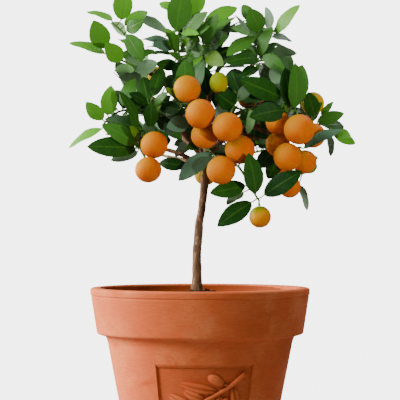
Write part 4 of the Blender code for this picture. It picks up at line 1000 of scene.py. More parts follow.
def blade_point(leaf, u, v, out=0.0):
    """A point on the blade's middle surface: u runs from 0 to 1 along it, v from -1 to 1 across."""
    along, side, up = leaf_frame(leaf["base"], leaf["tip"], leaf["up"])
    length = (leaf["tip"] - leaf["base"]).length
    half = leaf["width"] / 2 * outline(min(max(u, 0.0), 1.0)) + out
    fold = leaf["fold"]
    middle = leaf["base"] + along * length * u + up * length * leaf["arch"] * math.sin(math.pi * u)
    return middle + side * half * v * math.cos(fold) + up * half * abs(v) * math.sin(fold)


def leaf_points(leaf, swell):
    """A leaf from its root in the twig to its tip: two three-sided rings, then four-sided ones."""
    along, side, up = leaf_frame(leaf["base"], leaf["tip"], leaf["up"])
    across, rise = leaf_frame(leaf["root"], leaf["base"], up)[1:]
    thin = PETIOLE_R * MM + swell
    points = []
    for centre in (leaf["root"], leaf["base"]):
        points += [centre + (rise * 0.6 - across) * thin, centre + (rise * 0.6 + across) * thin,
                   centre - rise * thin]
    thick = BLADE_THICK * MM / 2 + swell
    for u in RINGS:
        middle = blade_point(leaf, u, 0)
        points += [blade_point(leaf, u, -1, swell), middle + up * thick,
                   blade_point(leaf, u, 1, swell), middle - up * thick]
    points.append(leaf["tip"] + along * swell)
    return points


def leaf_faces():
    """Faces of a leaf: each strip is split alike above and below, so that they never cross."""
    faces = [(0, 2, 1), (0, 1, 4, 3), (1, 2, 5, 4), (2, 0, 3, 5)]
    faces += [(3, 4, 7), (3, 7, 6), (4, 8, 7), (5, 3, 9), (3, 6, 9), (4, 5, 9), (4, 9, 8)]
    for ring in range(len(RINGS) - 1):
        a = 6 + ring * 4
        b = a + 4
        faces += [(a, a + 1, b + 1), (a, b + 1, b), (a + 1, a + 2, b + 1), (a + 2, b + 2, b + 1)]
        faces += [(a, b + 3, a + 3), (a, b, b + 3), (a + 3, b + 3, a + 2), (a + 2, b + 3, b + 2)]
    last = 2 + len(RINGS) * 4
    point = last + 4
    faces += [(last, last + 1, point), (last + 1, last + 2, point)]
    faces += [(last + 2, last + 3, point), (last + 3, last, point)]
    return faces


def guards(owner, leaf):
    """The blade, and its neck and stalk, a little larger than they are."""
    points = leaf_points(leaf, CLEAR * MM)
    faces = leaf_faces()
    neck = [face for face in faces if min(face) < 6]
    blade = [face for face in faces if min(face) >= 6]
    return grown_solid(owner, "body", points[6:], [tuple(i - 6 for i in face) for face in blade]), \
        grown_solid(owner, "neck", points[:10], neck)


def bend_cost(bend):
    """How far a bend takes a leaf from its own place; the least is tried first."""
    size, turn, swing, push, lift = bend
    return (1 - size) * 14 + abs(turn) / 14 + abs(swing) / 5 + abs(push) / 9 + lift / 4


TRIES = sorted(itertools.product(SIZES, TURNS, SWINGS, PUSHES, LIFTS), key=bend_cost)[:TRIES_MOST]


def place_leaf(owner, leaf, grown):
    """Bends a leaf until it is clear of everything grown so far; None where it can't be."""
    for size, turn, swing, push, lift in TRIES:
        tried = dict(leaf)
        reach = Quaternion((0, 1, 0), math.radians(swing)) @ ((leaf["tip"] - leaf["base"]) * size)
        reach += Vector((0, push * MM * size, 0))
        reach *= min(1.0, LEAF_MOST * MM / reach.length)
        tried["base"] = leaf["base"] + (leaf["base"] - leaf["root"]).normalized() * lift * MM
        tried["tip"] = tried["base"] + reach
        tried["width"] = leaf["width"] * size
        tried["up"] = Quaternion(reach.normalized(), math.radians(turn)) @ leaf["up"]
        blade, neck = guards(owner, tried)
        if not touches(blade, grown) and not touches(neck, grown):
            grown.append(blade)
            grown.append(neck)
            return tried
    return None


def nearest_on(routes, x, z):
    """The point of the routes, as seen from the front, that shows nearest to x, z."""
    best = None
    for route in routes:
        for (x0, y0, z0), (x1, y1, z1) in zip(route, route[1:]):
            step = Vector((x1 - x0, z1 - z0))
            share = Vector((x - x0, z - z0)).dot(step) / max(step.length_squared, 1e-6)
            share = min(max(share, 0.0), 1.0)
            found = (x0 + (x1 - x0) * share, y0 + (y1 - y0) * share, z0 + (z1 - z0) * share)
            off = math.hypot(found[0] - x, found[2] - z)
            if best is None or off < best[0]:
                best = (off, found)
    return best


def facing_leaf(routes, row):
    """A leaf as it shows from the front, hung on the nearest point of its shoot."""
    x0, z0, x1, z1, shown, reach = row
    wide = abs(shown)
    side = math.copysign(1, shown)
    off, root = nearest_on(routes, x0, z0)
    lift = math.sqrt(max(PETIOLE_LEAST ** 2 - off ** 2, 4.0))
    depth = root[1] - lift
    base = seen(x0, depth, z0)
    tip = seen(x1, depth + reach, z1)
    along = (tip - base).normalized()
    to_viewer = Vector((0, -1, 0))
    across = along.cross(to_viewer).normalized()
    facing = across.cross(along)
    outwards = Vector((OUTWARD * base.x, 0, 1.0))
    if across.dot(outwards) < 0:
        across = -across
    true_wide = max(wide * MM, (tip - base).length * LEAF_WIDE * 0.9)
    turn = math.acos(min(wide * MM / true_wide, 1.0))
    up = facing * side * math.cos(turn) + across * math.sin(turn)
    return {"root": seen(*root), "base": base, "tip": tip, "up": up, "width": true_wide,
            "arch": FRONT_ARCH, "fold": math.radians(FRONT_FOLD)}


def along_route(route, share):
    """Point and direction at a share of a route's length, in metres."""
    points = [seen(*knot) for knot in route]
    lengths = [(b - a).length for a, b in zip(points, points[1:])]
    left = share * sum(lengths)
    for a, b, length in zip(points, points[1:], lengths):
        if left <= length:
            return a.lerp(b, left / length), (b - a).normalized()
        left -= length
    return points[-1], (points[-1] - points[-2]).normalized()


def rule_leaf(route, share, turn, front, dice):
    """A leaf by rule: it leaves the twig at an angle and tips its upper side to the sky."""
    root, along = along_route(route, share)
    out = Quaternion(along, turn) @ along.orthogonal().normalized()
    if front and out.y < FRONT_LEAST:
        out.y = -out.y
    lift = Vector((0, 0, dice.uniform(*LEAF_LIFT)))
    way = (along * dice.uniform(*LEAF_LEAN) + out + lift).normalized()
    base = root + (out + along * PETIOLE_ALONG).normalized() * dice.uniform(*PETIOLE_LONG) * MM
    long = dice.uniform(*LEAF_LONG) * MM
    tip = base + way * long
    up = Vector((OUTWARD * base.x, OUTWARD * base.y, 1.0)) + out * UPPER_OUT
    up = (up - way * up.dot(way)).normalized()
    return {"root": root, "base": base, "tip": tip, "up": up, "width": long * LEAF_WIDE,
            "arch": dice.uniform(*BACK_ARCH), "fold": math.radians(dice.uniform(*BACK_FOLD))}


def from_crown(x, z):
    """How far a place in mm is from the middle of the crown's oval; 1 is on the oval."""
    return math.hypot((x - CROWN_MIDDLE[0]) / CROWN_HALF[0], (z - CROWN_MIDDLE[1]) / CROWN_HALF[1])


def shown_in_crown(leaf):
    """Whether a leaf's tip shows inside the crown's oval."""
    tip = leaf["tip"] / MM
    scale = EYE_AWAY / (EYE_AWAY + tip.y)
    return from_crown(tip.x * scale, EYE_HIGH + (tip.z - EYE_HIGH) * scale) < 1


def shoot_routes(name):
    """The shoot's routes, the first of them led on from its branch's end in a straight line."""
    before, end = BRANCHES[name][-2][:3], BRANCHES[name][-1][:3]
    line = Vector(end) - Vector(before)
    line.normalize()
    start = tuple(Vector(end) + line * GAP)
    straight = tuple(Vector(end) + line * TWIG_START)
    first, *others = SHOOTS[name]
    return [[start, straight] + first] + others


def root_routes(name):
    """The stretches of a shoot that may carry a leaf or a fruit: all but the start and the very ends."""
    first, *others = shoot_routes(name)
    stretches = []
    for route in [first[1:]] + others:
        before, end = Vector(route[-2]), Vector(route[-1])
        end += (before - end).normalized() * TWIG_END
        stretches.append(route[:-1] + [tuple(end)])
    return stretches


def route_rod(route):
    """A route's points and its thinning radii, in metres."""
    points = [seen(*knot) for knot in route]
    count = len(points) - 1
    radii = [(TWIG_R + (TWIG_TIP_R - TWIG_R) * i / count) * MM for i in range(count + 1)]
    return points, radii


def fruit_place(row):
    """A fruit's middle, radius and the way to its stalk, and the point of the shoot that carries it."""
    x, y, z, wide, tall, name = row
    middle = seen(x, y, z)
    radius = wide / 2 * MM * (EYE_AWAY + y) / EYE_AWAY
    above = middle + Vector((0, 0, 1)) * radius * 1.4
    best = None
    for route in root_routes(name):
        points = [seen(*knot) for knot in route]
        for a, b in zip(points, points[1:]):
            step = b - a
            share = min(max((above - a).dot(step) / step.length_squared, 0.0), 1.0)
            point = a + step * share
            if best is None or (point - above).length < (best - above).length:
                best = point
    line = best - middle
    rise = min(1.0, (line.length - radius) / (20 * MM)) * 0.4
    way = (line.normalized() + Vector((0, 0, rise))).normalized()
    return middle, radius, way, best


def stalk_rod(row):
    """The fruit's stalk, from the middle of the twig to the calyx, which spreads at its end."""
    middle, radius, way, start = fruit_place(row)
    end = middle + way * (radius * row[4] * FRUIT_TOP + GAP * MM)
    neck = end + way * CALYX_THICK * MM
    return [start, neck, end], [STALK_R * MM, STALK_R * 1.3 * MM, CALYX_R * MM]


def grow_crown():
    """Places every leaf; returns each shoot's list of them, and everything that has grown."""
    grown = []
    for rows in [STEM] + list(BRANCHES.values()):
        points = [seen(x, y, z) for x, y, z, r in rows]
        grown.append(grown_solid("trunk", "body", *prism(points, [r * MM for x, y, z, r in rows])))
    for name in SHOOTS:
        for route in shoot_routes(name):
            grown.append(grown_solid(name, "twig", *prism(*route_rod(route))))
    for number, row in enumerate(FRUITS):
        middle, radius, way, start = fruit_place(row)
        grown.append(grown_solid(f"fruit_{number + 1}", "body", *ball(middle, radius * max(row[4], 1.0))))
        grown.append(grown_solid(row[5], "twig", *prism(*stalk_rod(row))))
    leaves = {name: [] for name in SHOOTS}
    for name, rows in LEAVES.items():
        routes = root_routes(name)
        for row in rows:
            leaf = place_leaf(name, facing_leaf(routes, row), grown)
            if leaf:
                leaves[name].append(leaf)
    dice = random.Random(SEED)
    for name, count in MORE_LEAVES.items():
        routes = root_routes(name)
        front = name in LEAVES
        for number in range(count):
            share = (number + LEAF_FIRST) / count
            for attempt in range(ATTEMPTS):
                turn = LEAF_AROUND * number + LEAF_ASIDE * attempt + dice.uniform(-LEAF_STRAY, LEAF_STRAY)
                leaf = rule_leaf(routes[0], share, math.radians(turn), front, dice)
                if shown_in_crown(leaf):
                    leaf = place_leaf(name, leaf, grown)
                    if leaf:
                        leaves[name].append(leaf)
                        break
    return leaves, grown


leaves, grown = grow_crown()

# Smaller leaves that fill the crown between the others; rows and shades as before
FILL_LEAVES = {
    "crown_top": [
        (-25, 466, -35, 479, 6, -10), (-21, 468, -12, 482, 6, -12), (-26, 476, -38, 493, 11, -18),
        (-20, 458, -11, 447, 6, -14), (-19, 457, -7, 467, 6, -16), (-23, 460, -33, 466, 6, -10),
        (-24, 463, -29, 449, 7, -12), (-21, 470, -26, 456, 5, -14), (-20, 488, -2, 486, 8, -12),
        (-21, 498, -36, 508, 9, 8), (-25, 459, -47, 448, 11, -6), (-27, 472, -52, 476, 10, -8),
        (-22, 456, -26, 434, 13, -6),
    ],
    "crown_top_right": [
        (2, 450, -7, 464, 6, -12), (8, 448, 17, 459, 7, -12), (2, 463, -6, 452, 6, -14),
        (3, 452, 8, 420, 14, -10), (7, 446, 13, 434, 8, -10), (6, 475, 14, 486, 7, -14),
        (0, 478, -12, 488, 8, -12),
    ],
    "left_inner": [
        (-42, 402, -19, 409, 13, 12), (-46, 394, -31, 383, 14, 10), (-55, 400, -79, 409, 12, 12),
        (-57, 410, -76, 421, 11, 16), (-50, 401, -40, 415, 9, 16), (-53, 415, -43, 447, 15, 4),
        (-44, 404, -34, 432, 13, 12),
    ],
    "left_tip": [(-80, 400, -71, 386, 12, 10), (-90, 404, -112, 404, 9, 14), (-76, 408, -66, 424, 10, 12)],
    "front_left": [(-15, 403, -38, 399, 13, 18), (-20, 416, -30, 428, 8, 10)],
    "front_right": [
        (28, 405, 9, 429, 15, 10), (42, 414, 58, 434, 12, 18), (50, 402, 46, 392, 8, 10),
        (36, 414, 28, 430, 10, 16),
    ],
    "right_upper": [(65, 451, 50, 440, 7, -8), (73, 461, 86, 462, 7, 12), (60, 460, 44, 468, 10, 10)],
    "right_mid": [(86, 398, 66, 392, 10, 16), (92, 412, 70, 414, 12, 18)],
    "right_tip": [(112, 388, 102, 402, 10, 12), (124, 400, 132, 412, 7, 12)],
    "left_high": [(-64, 462, -50, 470, 7, 10), (-72, 480, -60, 474, 7, 12)],
    "back_top": [
        (7, 440, 5, 404, 16, 4), (13, 441, 20, 402, 15, 6), (14, 455, 46, 448, 13, 4),
        (4, 450, -28, 436, 14, 6), (6, 462, -26, 456, 13, 4), (12, 466, 38, 462, 12, 4),
    ],
    "back_left": [(-53, 398, -20, 378, 17, -6), (-58, 402, -32, 418, 15, -4)],
    "back_right": [(68, 403, 38, 388, 16, -6), (72, 406, 46, 424, 16, -4), (80, 406, 98, 430, 15, 4)],
    "back_low": [(11, 361, 34, 352, 13, -4), (6, 372, -24, 384, 15, 4)],
    "low_right_back": [(69, 362, 65, 388, 14, -4), (84, 363, 100, 384, 14, 2)],
    "low_left_back": [(-55, 360, -74, 374, 12, -4)],
    "left_upper": [(-64, 448, -56, 436, 9, 12), (-84, 460, -74, 470, 8, 14)],
}
FILL_TONES = {
    "crown_top": "PPPMPMMPBBMGD", "crown_top_right": "PBPDDMM", "left_inner": "DDDDODD",
    "back_top": "DDDDMD", "back_left": "DD", "back_right": "DDD", "back_low": "DD", "low_right_back": "DD",
    "low_left_back": "D", "left_tip": "OMD",
    "front_left": "DO", "front_right": "DDDM", "right_upper": "PMM", "right_mid": "DD", "right_tip": "DM",
    "left_high": "MB", "left_upper": "DM",
}
# How many more grow by rule, shorter than the others
FILL_MORE = {
    "left_inner": 6, "front_left": 6, "left_tip": 2, "crown_top_right": 5, "right_upper": 5,
    "right_mid": 5, "right_low": 4, "front_right": 5, "left_high": 3, "left_upper": 4, "right_high": 3,
    "back_low": 4, "low_left_back": 6, "low_right_back": 6, "left_back": 5, "right_back": 5,
}
FILL_SEED = 29
FILL_ALONG = (0.05, 0.95)   # where on a route they may grow
FILL_TURN = (0, 6.28)       # and how far round it, in radians
FILL_SHORT = 0.68
FILL_OUTWARD = 1.1          # how far their upper sides turn to the front or the back
FILL_BACK = 0.02            # metres of depth from which they turn to the back
FILL_REACH = 0.8            # how far from the crown's middle their tips may show, as a share of its oval
dice = random.Random(FILL_SEED)
tones = {}
for name in SHOOTS:
    routes = root_routes(name)
    tones[name] = list(TONES.get(name, "").ljust(len(leaves[name])))
    fills = [facing_leaf(routes, row) for row in FILL_LEAVES.get(name, [])]
    letters = list(FILL_TONES.get(name, ""))
    for number in range(FILL_MORE.get(name, 0)):
        share = dice.uniform(*FILL_ALONG)
        leaf = rule_leaf(dice.choice(routes), share, dice.uniform(*FILL_TURN), name in LEAVES, dice)
        leaf["tip"] = leaf["base"].lerp(leaf["tip"], FILL_SHORT)
        leaf["width"] *= FILL_SHORT
        way = (leaf["tip"] - leaf["base"]).normalized()
        up = leaf["up"] + Vector((0, math.copysign(FILL_OUTWARD, leaf["base"].y - FILL_BACK), 0))
        leaf["up"] = (up - way * up.dot(way)).normalized()
        if from_crown(leaf["tip"].x / MM, leaf["tip"].z / MM) < FILL_REACH:
            fills.append(leaf)
            letters.append(" ")
    for leaf, letter in zip(fills, letters):
        leaf = place_leaf(name, leaf, grown)
        if leaf:
            leaves[name].append(leaf)
            tones[name].append(letter)

# Where a blade's cross rows of points lie, as shares of its length, and how many faces lie across it
BLADE_ROWS = (0.0, 0.05, 0.14, 0.28, 0.45, 0.62, 0.78, 0.91, 1.0)
BLADE_ACROSS = 4
BLADE_THIN = 0.55         # mm at the rib; the edge is thin
BLADE_BROAD = 1.10        # width against the plain solid's
BLADE_FOOT = 0.45         # mm from a blade's rib to its edge at the foot
BLADE_END = 0.2           # and at the tip
EDGE_WAVE = 0.8           # mm that a blade's edge waves up and down
EDGE_WAVES = 9            # radians of that wave along the blade
EDGE_CURL = 0.22          # how far the edges roll down, as a share of the half width
TIP_DROOP = 1.6           # mm that a blade's tip hangs
# The blade's green runs from the first colour below, where a leaf is in painted shade, to the second, where
# it is painted lit; the second also colours the blotches
LEAF_SHADED = (0.0012, 0.022, 0.0018, 1)
LEAF_FRESH_LIT = (0.078, 0.262, 0.015, 1)
LEAF_TURNING = (0.36, 0.24, 0.005, 1)
LEAF_RIB = (0.085, 0.20, 0.014, 1)
# A painted sheen: grey-blue that stands in for the sky's reflection on glossy leaves
LEAF_SHEEN = (0.066, 0.120, 0.088, 1)
LEAF_UNDER = (0.100, 0.175, 0.083, 1)
TWIG_GREEN = (0.045, 0.130, 0.008, 1)
TWIG_BROWN = (0.120, 0.060, 0.015, 1)
LEAF_GLOSSY = (0.40, 0.16)   # roughness and specular level of the upper face
LEAF_DULL = (0.60, 0.10)     # and of the underside
UNDER_SHARE = 0.66           # how far the underside's colour turns to LEAF_UNDER
RIB_HALF = (0.010, 0.050)    # from the blade's middle: where the rib starts to fade and where it ends
VEIN_SLANT = -0.42           # how far the side veins lean to the tip
VEIN_WAVES = 56.0            # how close they stand
VEIN_EDGE = 0.72
RIB_PALE = 0.22              # how much paler the rib is, and the side veins
VEIN_PALE = 0.05
RIB_RELIEF = 2.0             # how far the rib is sunk in the upper face and stands out under it
VEIN_RELIEF = 0.9
BLOTCHED = 0.05
LEAF_CLOUDS = (0.007, 0.4, 0.7)
LEAF_GRAIN = (0.0012, 0.3, 0.7)
TWIG_CLOUDS = (0.008, 0.52, 0.8, 0.5)
TWIG_GRAIN = (0.0012, 0.3, 0.7, 0.3)
# Each shade's shares: bright, which holds painted light and shade, turning yellow, and grey-blue, a painted
# sheen
TONE = {
    "D": (0.05, 0.0, 0.0), "M": (0.36, 0.0, 0.05), "B": (0.92, 0.0, 0.0), "Y": (0.9, 0.75, 0.0),
    "O": (0.5, 0.09, 0.0), "G": (0.3, 0.0, 0.70), "P": (1.0, 0.05, 0.12),
}
TOP_OF_SHADE = 400.0      # mm up; above it the leaves that grow by rule are painted lighter, as painted light on the crown's top
LIGHTER = 0.0045          # how much lighter they are for each mm more
SHADE_BRIGHT = (0.0, 0.3)   # how bright they are, dark as painted shade in the crown, and how much painted sheen they carry
SHADE_SHEEN = (0, 0.2)
SHADE_STRAY = 0.06        # how far any leaf's brightness strays
BLADE_SEED = 23


def leaf_veins(tree):
    """Masks over a blade from its own map: the middle rib, and the side veins that leave it."""
    place = put(tree, "SeparateXYZ", {0: put(tree, "UVMap", uv_map="blade").outputs["UV"]}).outputs
    off = reckoned(tree, "ABSOLUTE", reckoned(tree, "SUBTRACT", place["Y"], 0.5))
    rib = ramp(tree, off, *RIB_HALF, 1.0, 0.0, "SMOOTHSTEP")
    slant = summed(tree, place["X"], off, VEIN_SLANT)
    waves = reckoned(tree, "SINE", reckoned(tree, "MULTIPLY", slant, VEIN_WAVES))
    return rib, ramp(tree, waves, VEIN_EDGE, 1.0, kind="SMOOTHSTEP")


def leaf_material(name, under):
    """The blade's upper face, or its paler and duller underside, where the veins stand out."""
    made, tree, shader = new_material(name, *(LEAF_DULL if under else LEAF_GLOSSY))
    tone = painted(tree, "tone")
    rib, side = leaf_veins(tree)
    # Painted light and shade: the tone's first share goes from shaded to lit green, and its third adds the
    # painted sheen
    colour = mixed(tree, tone[0], LEAF_SHADED, LEAF_FRESH_LIT)
    colour = mixed(tree, tone[1], colour, LEAF_TURNING)
    colour = mixed(tree, tone[2], colour, LEAF_SHEEN)
    blotch = reckoned(tree, "MULTIPLY", cloudy(tree, *LEAF_CLOUDS), BLOTCHED)
    colour = mixed(tree, blotch, colour, LEAF_FRESH_LIT)
    veins = reckoned(tree, "MULTIPLY", side, VEIN_PALE)
    colour = mixed(tree, summed(tree, veins, rib, RIB_PALE), colour, LEAF_RIB)
    if under:
        colour = mixed(tree, UNDER_SHARE, colour, LEAF_UNDER)
    tree.links.new(colour, shader.inputs["Base Color"])
    raised = 1 if under else -1
    height = summed(tree, cloudy(tree, *LEAF_GRAIN), rib, raised * RIB_RELIEF)
    height = summed(tree, height, side, raised * VEIN_RELIEF)
    bumped(tree, shader, height, strength=0.3, distance=0.0003)
    return made


leaf_top = leaf_material("leaf_upper_face", under=False)
leaf_below = leaf_material("leaf_underside", under=True)
twig_skin, tree, shader = new_material("twig_skin", roughness=0.6)
colour = mixed(tree, cloudy(tree, *TWIG_CLOUDS), TWIG_GREEN, TWIG_BROWN)
tree.links.new(colour, shader.inputs["Base Color"])
bumped(tree, shader, cloudy(tree, *TWIG_GRAIN), strength=0.4, distance=0.0003)


def grow_blade(shape, leaf, tone, phase):
    """One blade: a grid laid on the leaf's bent surface, and its underside welded on round the edge."""
    blade_map = shape.loops.layers.uv["blade"]
    tone_layer = shape.verts.layers.float_color["tone"]
    rows = len(BLADE_ROWS) - 1
    upper = bmesh.ops.create_grid(shape, x_segments=rows, y_segments=BLADE_ACROSS, size=0.5)["verts"]
    along, side, up = leaf_frame(leaf["base"], leaf["tip"], leaf["up"])
    half = leaf["width"] / 2 * BLADE_BROAD
    spots = {}
    for vert in upper:
        u = BLADE_ROWS[round((vert.co.x + 0.5) * rows)]
        v = vert.co.y * 2
        spots[vert] = (u, v / 2 + 0.5)
        wave = math.sin(u * EDGE_WAVES + phase + v) * v * v * EDGE_WAVE * MM * math.sin(math.pi * u)
        droop = TIP_DROOP * u ** 3 * (1 - u * 0.3) * MM
        curl = EDGE_CURL * half * v * v * outline(u)
        stub = max(BLADE_END, BLADE_FOOT - u) * MM
        spread = (BLADE_BROAD - 1) * leaf["width"] / 2 * outline(u) + stub
        vert.co = blade_point(leaf, u, v) + side * v * spread + up * (wave - droop - curl)
        vert[tone_layer] = (*tone, 1)
    faces = list({face for vert in upper for face in vert.link_faces})
    edges = list({edge for face in faces for edge in face.edges})
    for face in faces:
        for loop in face.loops:
            loop[blade_map].uv = spots[loop.vert]
    copied = bmesh.ops.duplicate(shape, geom=upper + edges + faces)
    for vert in upper:
        u, across = spots[vert]
        inside = (1 - (2 * across - 1) ** 2) * math.sin(math.pi * u) ** 0.5
        copied["vert_map"][vert].co -= up * BLADE_THIN * MM * inside
    below = [item for item in copied["geom"] if isinstance(item, bmesh.types.BMFace)]
    for face in below:
        face.material_index = 1
    bmesh.ops.reverse_faces(shape, faces=below)
    rim = [vert for vert in upper if vert.is_boundary]
    rim += [copied["vert_map"][vert] for vert in rim]
    bmesh.ops.remove_doubles(shape, verts=rim, dist=0.000001)


dice = random.Random(BLADE_SEED)
for name in SHOOTS:
    blades = bmesh.new()
    blades.loops.layers.uv.new("blade")
    blades.verts.layers.float_color.new("tone")
    stems = bmesh.new()
    for route in shoot_routes(name):
        points, radii = route_rod(route)
        line = smooth_way(points, cuts=3)
        count = len(line) - 1
        sizes = [radii[0] + (radii[-1] - radii[0]) * i / count for i in range(count + 1)]
        grow_rod(stems, line, sizes, sides=8)
    for leaf, letter in zip(leaves[name], tones[name]):
        # Painted light and shade: leaves by rule are dark inside the crown and painted lighter towards its
        # top, with some painted sheen
        higher = max(leaf["base"].z / MM - TOP_OF_SHADE, 0)
        shade = min(dice.uniform(*SHADE_BRIGHT) + higher * LIGHTER, 1)
        bright, turning, sheen = TONE.get(letter) or (shade, 0, dice.uniform(*SHADE_SHEEN))
        bright = min(max(bright + dice.uniform(-SHADE_STRAY, SHADE_STRAY), 0), 1)
        grow_blade(blades, leaf, (bright, turning, sheen), phase=dice.uniform(0, 6))
        middle = leaf["root"].lerp(leaf["base"], 0.5) - Vector((0, 0, PETIOLE_SAG * MM))
        into = blade_point(leaf, PETIOLE_INTO, 0)
        line = smooth_way([leaf["root"], middle, leaf["base"], into], cuts=2)
        tapers = [PETIOLE_THICK - PETIOLE_TAPER * i / len(line) for i in range(len(line))]
        grow_rod(stems, line, [PETIOLE_R * MM * taper for taper in tapers], sides=6)
    for row in FRUITS:
        if row[5] == name:
            (start, neck, end), radii = stalk_rod(row)
            thin, thick = radii[:2]
            line = [start, start.lerp(neck, 0.5), neck, end]
            grow_rod(stems, line, [thin, thin, thick, thick * STALK_SWELL], sides=7)
            lean = Vector((0, 0, 1)).rotation_difference((neck - end).normalized())
            calyx = bmesh.ops.create_cone(stems, cap_ends=True, segments=2 * CALYX_LOBES, radius1=1.0,
                                          radius2=CALYX_TOP_R, depth=1.0)
            for vert in calyx["verts"]:
                corner = round(math.atan2(vert.co.y, vert.co.x) / math.pi * CALYX_LOBES)
                out = CALYX_NOTCH if vert.co.z < 0 and corner % 2 else 1
                form = Vector((vert.co.x * CALYX_R * out, vert.co.y * CALYX_R * out,
                               vert.co.z * CALYX_TALL + CALYX_UP))
                vert.co = end + lean @ (form * MM)
    leafy = new_piece(f"leaves_{name}", blades, leaf_top, leaf_below)
    leafy.data.set_sharp_from_angle(angle=math.radians(70))
    twigs = new_piece(f"twigs_{name}", stems, twig_skin)
    for piece in (leafy, twigs):
        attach(piece, "root")
        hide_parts(f"spray_{name}")


# Fruits: calamondins, small round oranges with a thin, waxy, pored peel. They grew on their stalks, and most
# are ripe; some are still green or yellow at the top. Sizes are mm.

FRUIT_ROWS = 16
FRUIT_STEPS = 32
DENT_TOP = (0.035, 0.24)  # depth of the dent at the stalk, as a share, and how far it reaches, in radians
DENT_LOW = (0.020, 0.16)  # and of the one at the foot
FURROWS = 9               # faint furrows that run from the stalk
FURROW_DEEP = 0.004
LUMPY = 0.012
LUMPS_FINE = 60
FRUITS_UNLIKE = 50        # how unlike one another the fruits are
PORES = 820.0             # to a metre
# How unripe a fruit is: all over, and at its top
UNRIPE = {
    1: (0.10, 0.55), 14: (0.22, 0.75), 15: (0.80, 0.35), 16: (0.50, 0.10), 19: (0.1, 0.2), 20: (0.35, 0.2),
    21: (0.45, 0.2),
}
UNRIPE_USUAL = (0.0, 0.12)
LIT_SIDE = Vector((-0.72, -0.35, 0.60))   # the side towards the key light is painted yellower, as painted light
LIT_YELLOW = 0.36
SCAR_FROM = -0.985        # height of the scar at the foot, as a share of the half height
UPRIGHT = (15,)           # fruits that hang straight down from a stalk that comes from the side
PEEL_CLOUDS = (0.009, 0.35, 0.7)
PEEL_GRAIN = (0.004, 0.3, 0.7)
PEEL_ORANGE = (0.43, 0.100, 0.0001, 1)
PEEL_DEEP = (0.43, 0.070, 0.0001, 1)
PEEL_YELLOW = (0.42, 0.205, 0.0002, 1)
PEEL_GREEN = (0.17, 0.21, 0.0012, 1)
PEEL_SCAR = (0.16, 0.10, 0.03, 1)

peel, tree, shader = new_material("peel", roughness=0.5, specular=0.05)
state = painted(tree, "ripeness_and_light")
colour = mixed(tree, cloudy(tree, *PEEL_CLOUDS), PEEL_ORANGE, PEEL_DEEP)
colour = mixed(tree, ramp(tree, state[0], 0.05, 0.5), colour, PEEL_YELLOW)
colour = mixed(tree, ramp(tree, state[0], 0.5, 1.0), colour, PEEL_GREEN)
colour = mixed(tree, state[1], colour, PEEL_SCAR)
tree.links.new(colour, shader.inputs["Base Color"])
where = put(tree, "TexCoord").outputs["Object"]
pores = put(tree, "TexVoronoi", {"Vector": where, "Scale": PORES}, feature="SMOOTH_F1").outputs["Distance"]
height = summed(tree, cloudy(tree, *PEEL_GRAIN), pores, share=1.6)
bumped(tree, shader, height, strength=0.42, distance=0.0005)

for number, row in enumerate(FRUITS):
    middle, radius, way, start = fruit_place(row)
    tall = row[4]
    profile = []
    for step in range(FRUIT_ROWS + 1):
        down = math.pi * step / FRUIT_ROWS
        dent = DENT_TOP[0] * math.exp(-(down / DENT_TOP[1]) ** 2)
        dent += DENT_LOW[0] * math.exp(-((math.pi - down) / DENT_LOW[1]) ** 2)
        profile.append((math.sin(down) * radius, math.cos(down) * radius * tall * (1 - dent)))
    fruit_shape = bmesh.new()
    chain = [fruit_shape.verts.new((out, 0, high)) for out, high in profile]
    for a, b in zip(chain, chain[1:]):
        fruit_shape.edges.new((a, b))
    full_turn(fruit_shape, FRUIT_STEPS)
    layer = fruit_shape.verts.layers.float_color.new("ripeness_and_light")
    lean = Vector((0, 0, 1)).rotation_difference(Vector((0, 0, 1)) if number + 1 in UPRIGHT else way)
    everywhere, at_top = UNRIPE.get(number + 1, UNRIPE_USUAL)
    for vert in fruit_shape.verts:
        high = vert.co.z / (radius * tall)
        furrow = FURROW_DEEP * math.cos(FURROWS * math.atan2(vert.co.y, vert.co.x)) * max(high, 0) ** 2
        vert.co *= 1 + furrow + noise.noise(vert.co * LUMPS_FINE + middle * FRUITS_UNLIKE) * LUMPY
        vert.co = middle + lean @ vert.co
        unripe_and_lit = everywhere + at_top * max(0, (high + 0.1) / 1.1) ** 1.6
        # Painted light: the side towards the key light is painted yellower
        unripe_and_lit += LIT_YELLOW * max(0, (vert.co - middle).normalized().dot(LIT_SIDE)) ** 1.3
        vert[layer] = (min(unripe_and_lit, 1), float(high < SCAR_FROM), 0, 1)
    fruit = new_piece(f"orange_{number + 1:02d}", fruit_shape, peel)
    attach(fruit, "root")
    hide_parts(f"fruit_{number + 1:02d}")


# Studio: a plain pale floor that fades into a white ground. Two large soft lights stand on the left, one of
# them behind the tree; a weak one is at the back right, and a narrow beam lifts the crown. Sizes are metres.

FLOOR_R = 4.0
GROUND = 5.0              # how bright the white ground shows
AROUND = 0.30             # how bright it is to the tree
FLOOR_PLAIN = (0.45, 0.95)   # where the floor starts to fade and where it is white
FLOOR_SHOWN = (0.82, 0.82, 0.82, 1)
FLOOR_LIT = (0.30, 0.30, 0.30, 1)   # its colour in the light that it throws back


def ground_glow(tree):
    """Whether the camera looks, and the ground's brightness to the camera and to the tree."""
    ray = put(tree, "LightPath").outputs["Is Camera Ray"]
    return ray, ramp(tree, ray, 0.0, 1.0, AROUND, GROUND)


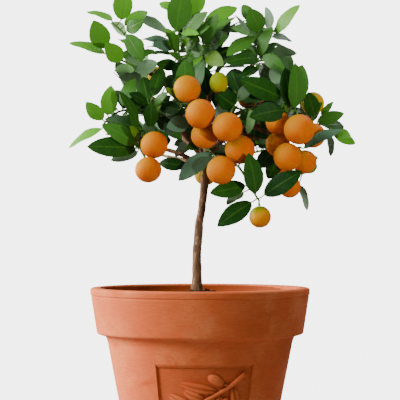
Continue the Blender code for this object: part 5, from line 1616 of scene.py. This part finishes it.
floor_shape = bmesh.new()
bmesh.ops.create_circle(floor_shape, cap_ends=True, segments=96, radius=FLOOR_R)
floor_paint, tree, shader = new_material("floor", roughness=0.9)
floor = new_piece("floor", floor_shape, floor_paint)
where = put(tree, "TexCoord").outputs["Object"]
away = put(tree, "VectorMath", {0: where}, operation="LENGTH").outputs["Value"]
fade = ramp(tree, away, *FLOOR_PLAIN, kind="SMOOTHSTEP")
ray, glow = ground_glow(tree)
tree.links.new(mixed(tree, ray, FLOOR_LIT, FLOOR_SHOWN), shader.inputs["Base Color"])
white = put(tree, "Emission", {"Color": (1, 1, 1, 1), "Strength": glow}).outputs[0]
blend = put(tree, "MixShader", {0: fade, 1: shader.outputs[0], 2: white})
tree.links.new(blend.outputs[0], tree.nodes["Material Output"].inputs["Surface"])

world = bpy.data.worlds.new("studio")
world.use_nodes = True
tree = world.node_tree
ground_light = tree.nodes["Background"]
ground_light.inputs["Color"].default_value = (1, 1, 1, 1)
ray, glow = ground_glow(tree)
tree.links.new(glow, ground_light.inputs["Strength"])
bpy.context.scene.world = world

# Each soft light: place, size, power in watts, colour
LIGHTS = {
    "left_back": ((-1.97, 0.72, 0.78), 1.5, 150.0, (1.0, 0.98, 0.95)),
    "key": ((-1.90, -0.85, 1.42), 1.4, 104.0, (1.0, 0.99, 0.97)),
    "right_back": ((1.2, 0.9, 2.2), 1.2, 34.0, (1.0, 1.0, 1.0)),
}
AIM = Vector((0, 0, 0.32))
BEAM_FROM = (1.3, -1.9, 0.34)
BEAM_POWER = 200.0
BEAM_WIDE = 10.0          # degrees
BEAM_BLEND = 0.6
BEAM_R = 0.06
CROWN_AT = Vector((0.01, 0, 0.425))


def hang(light, power, place, aim):
    """Puts a light in the studio, turned to what it is aimed at."""
    light.energy = power
    lamp = bpy.data.objects.new(light.name, light)
    lamp.location = place
    lamp.rotation_euler = (aim - Vector(place)).to_track_quat("-Z", "Y").to_euler()
    bpy.context.scene.collection.objects.link(lamp)
    return lamp


for name, (place, size, power, colour) in LIGHTS.items():
    light = bpy.data.lights.new(name, "AREA")
    light.shape = "DISK"
    light.size = size
    light.color = colour
    hang(light, power, place, AIM)
beam = bpy.data.lights.new("crown_beam", "SPOT")
beam.spot_size = math.radians(BEAM_WIDE)
beam.spot_blend = BEAM_BLEND
beam.shadow_soft_size = BEAM_R
hang(beam, BEAM_POWER, BEAM_FROM, CROWN_AT).visible_glossy = False
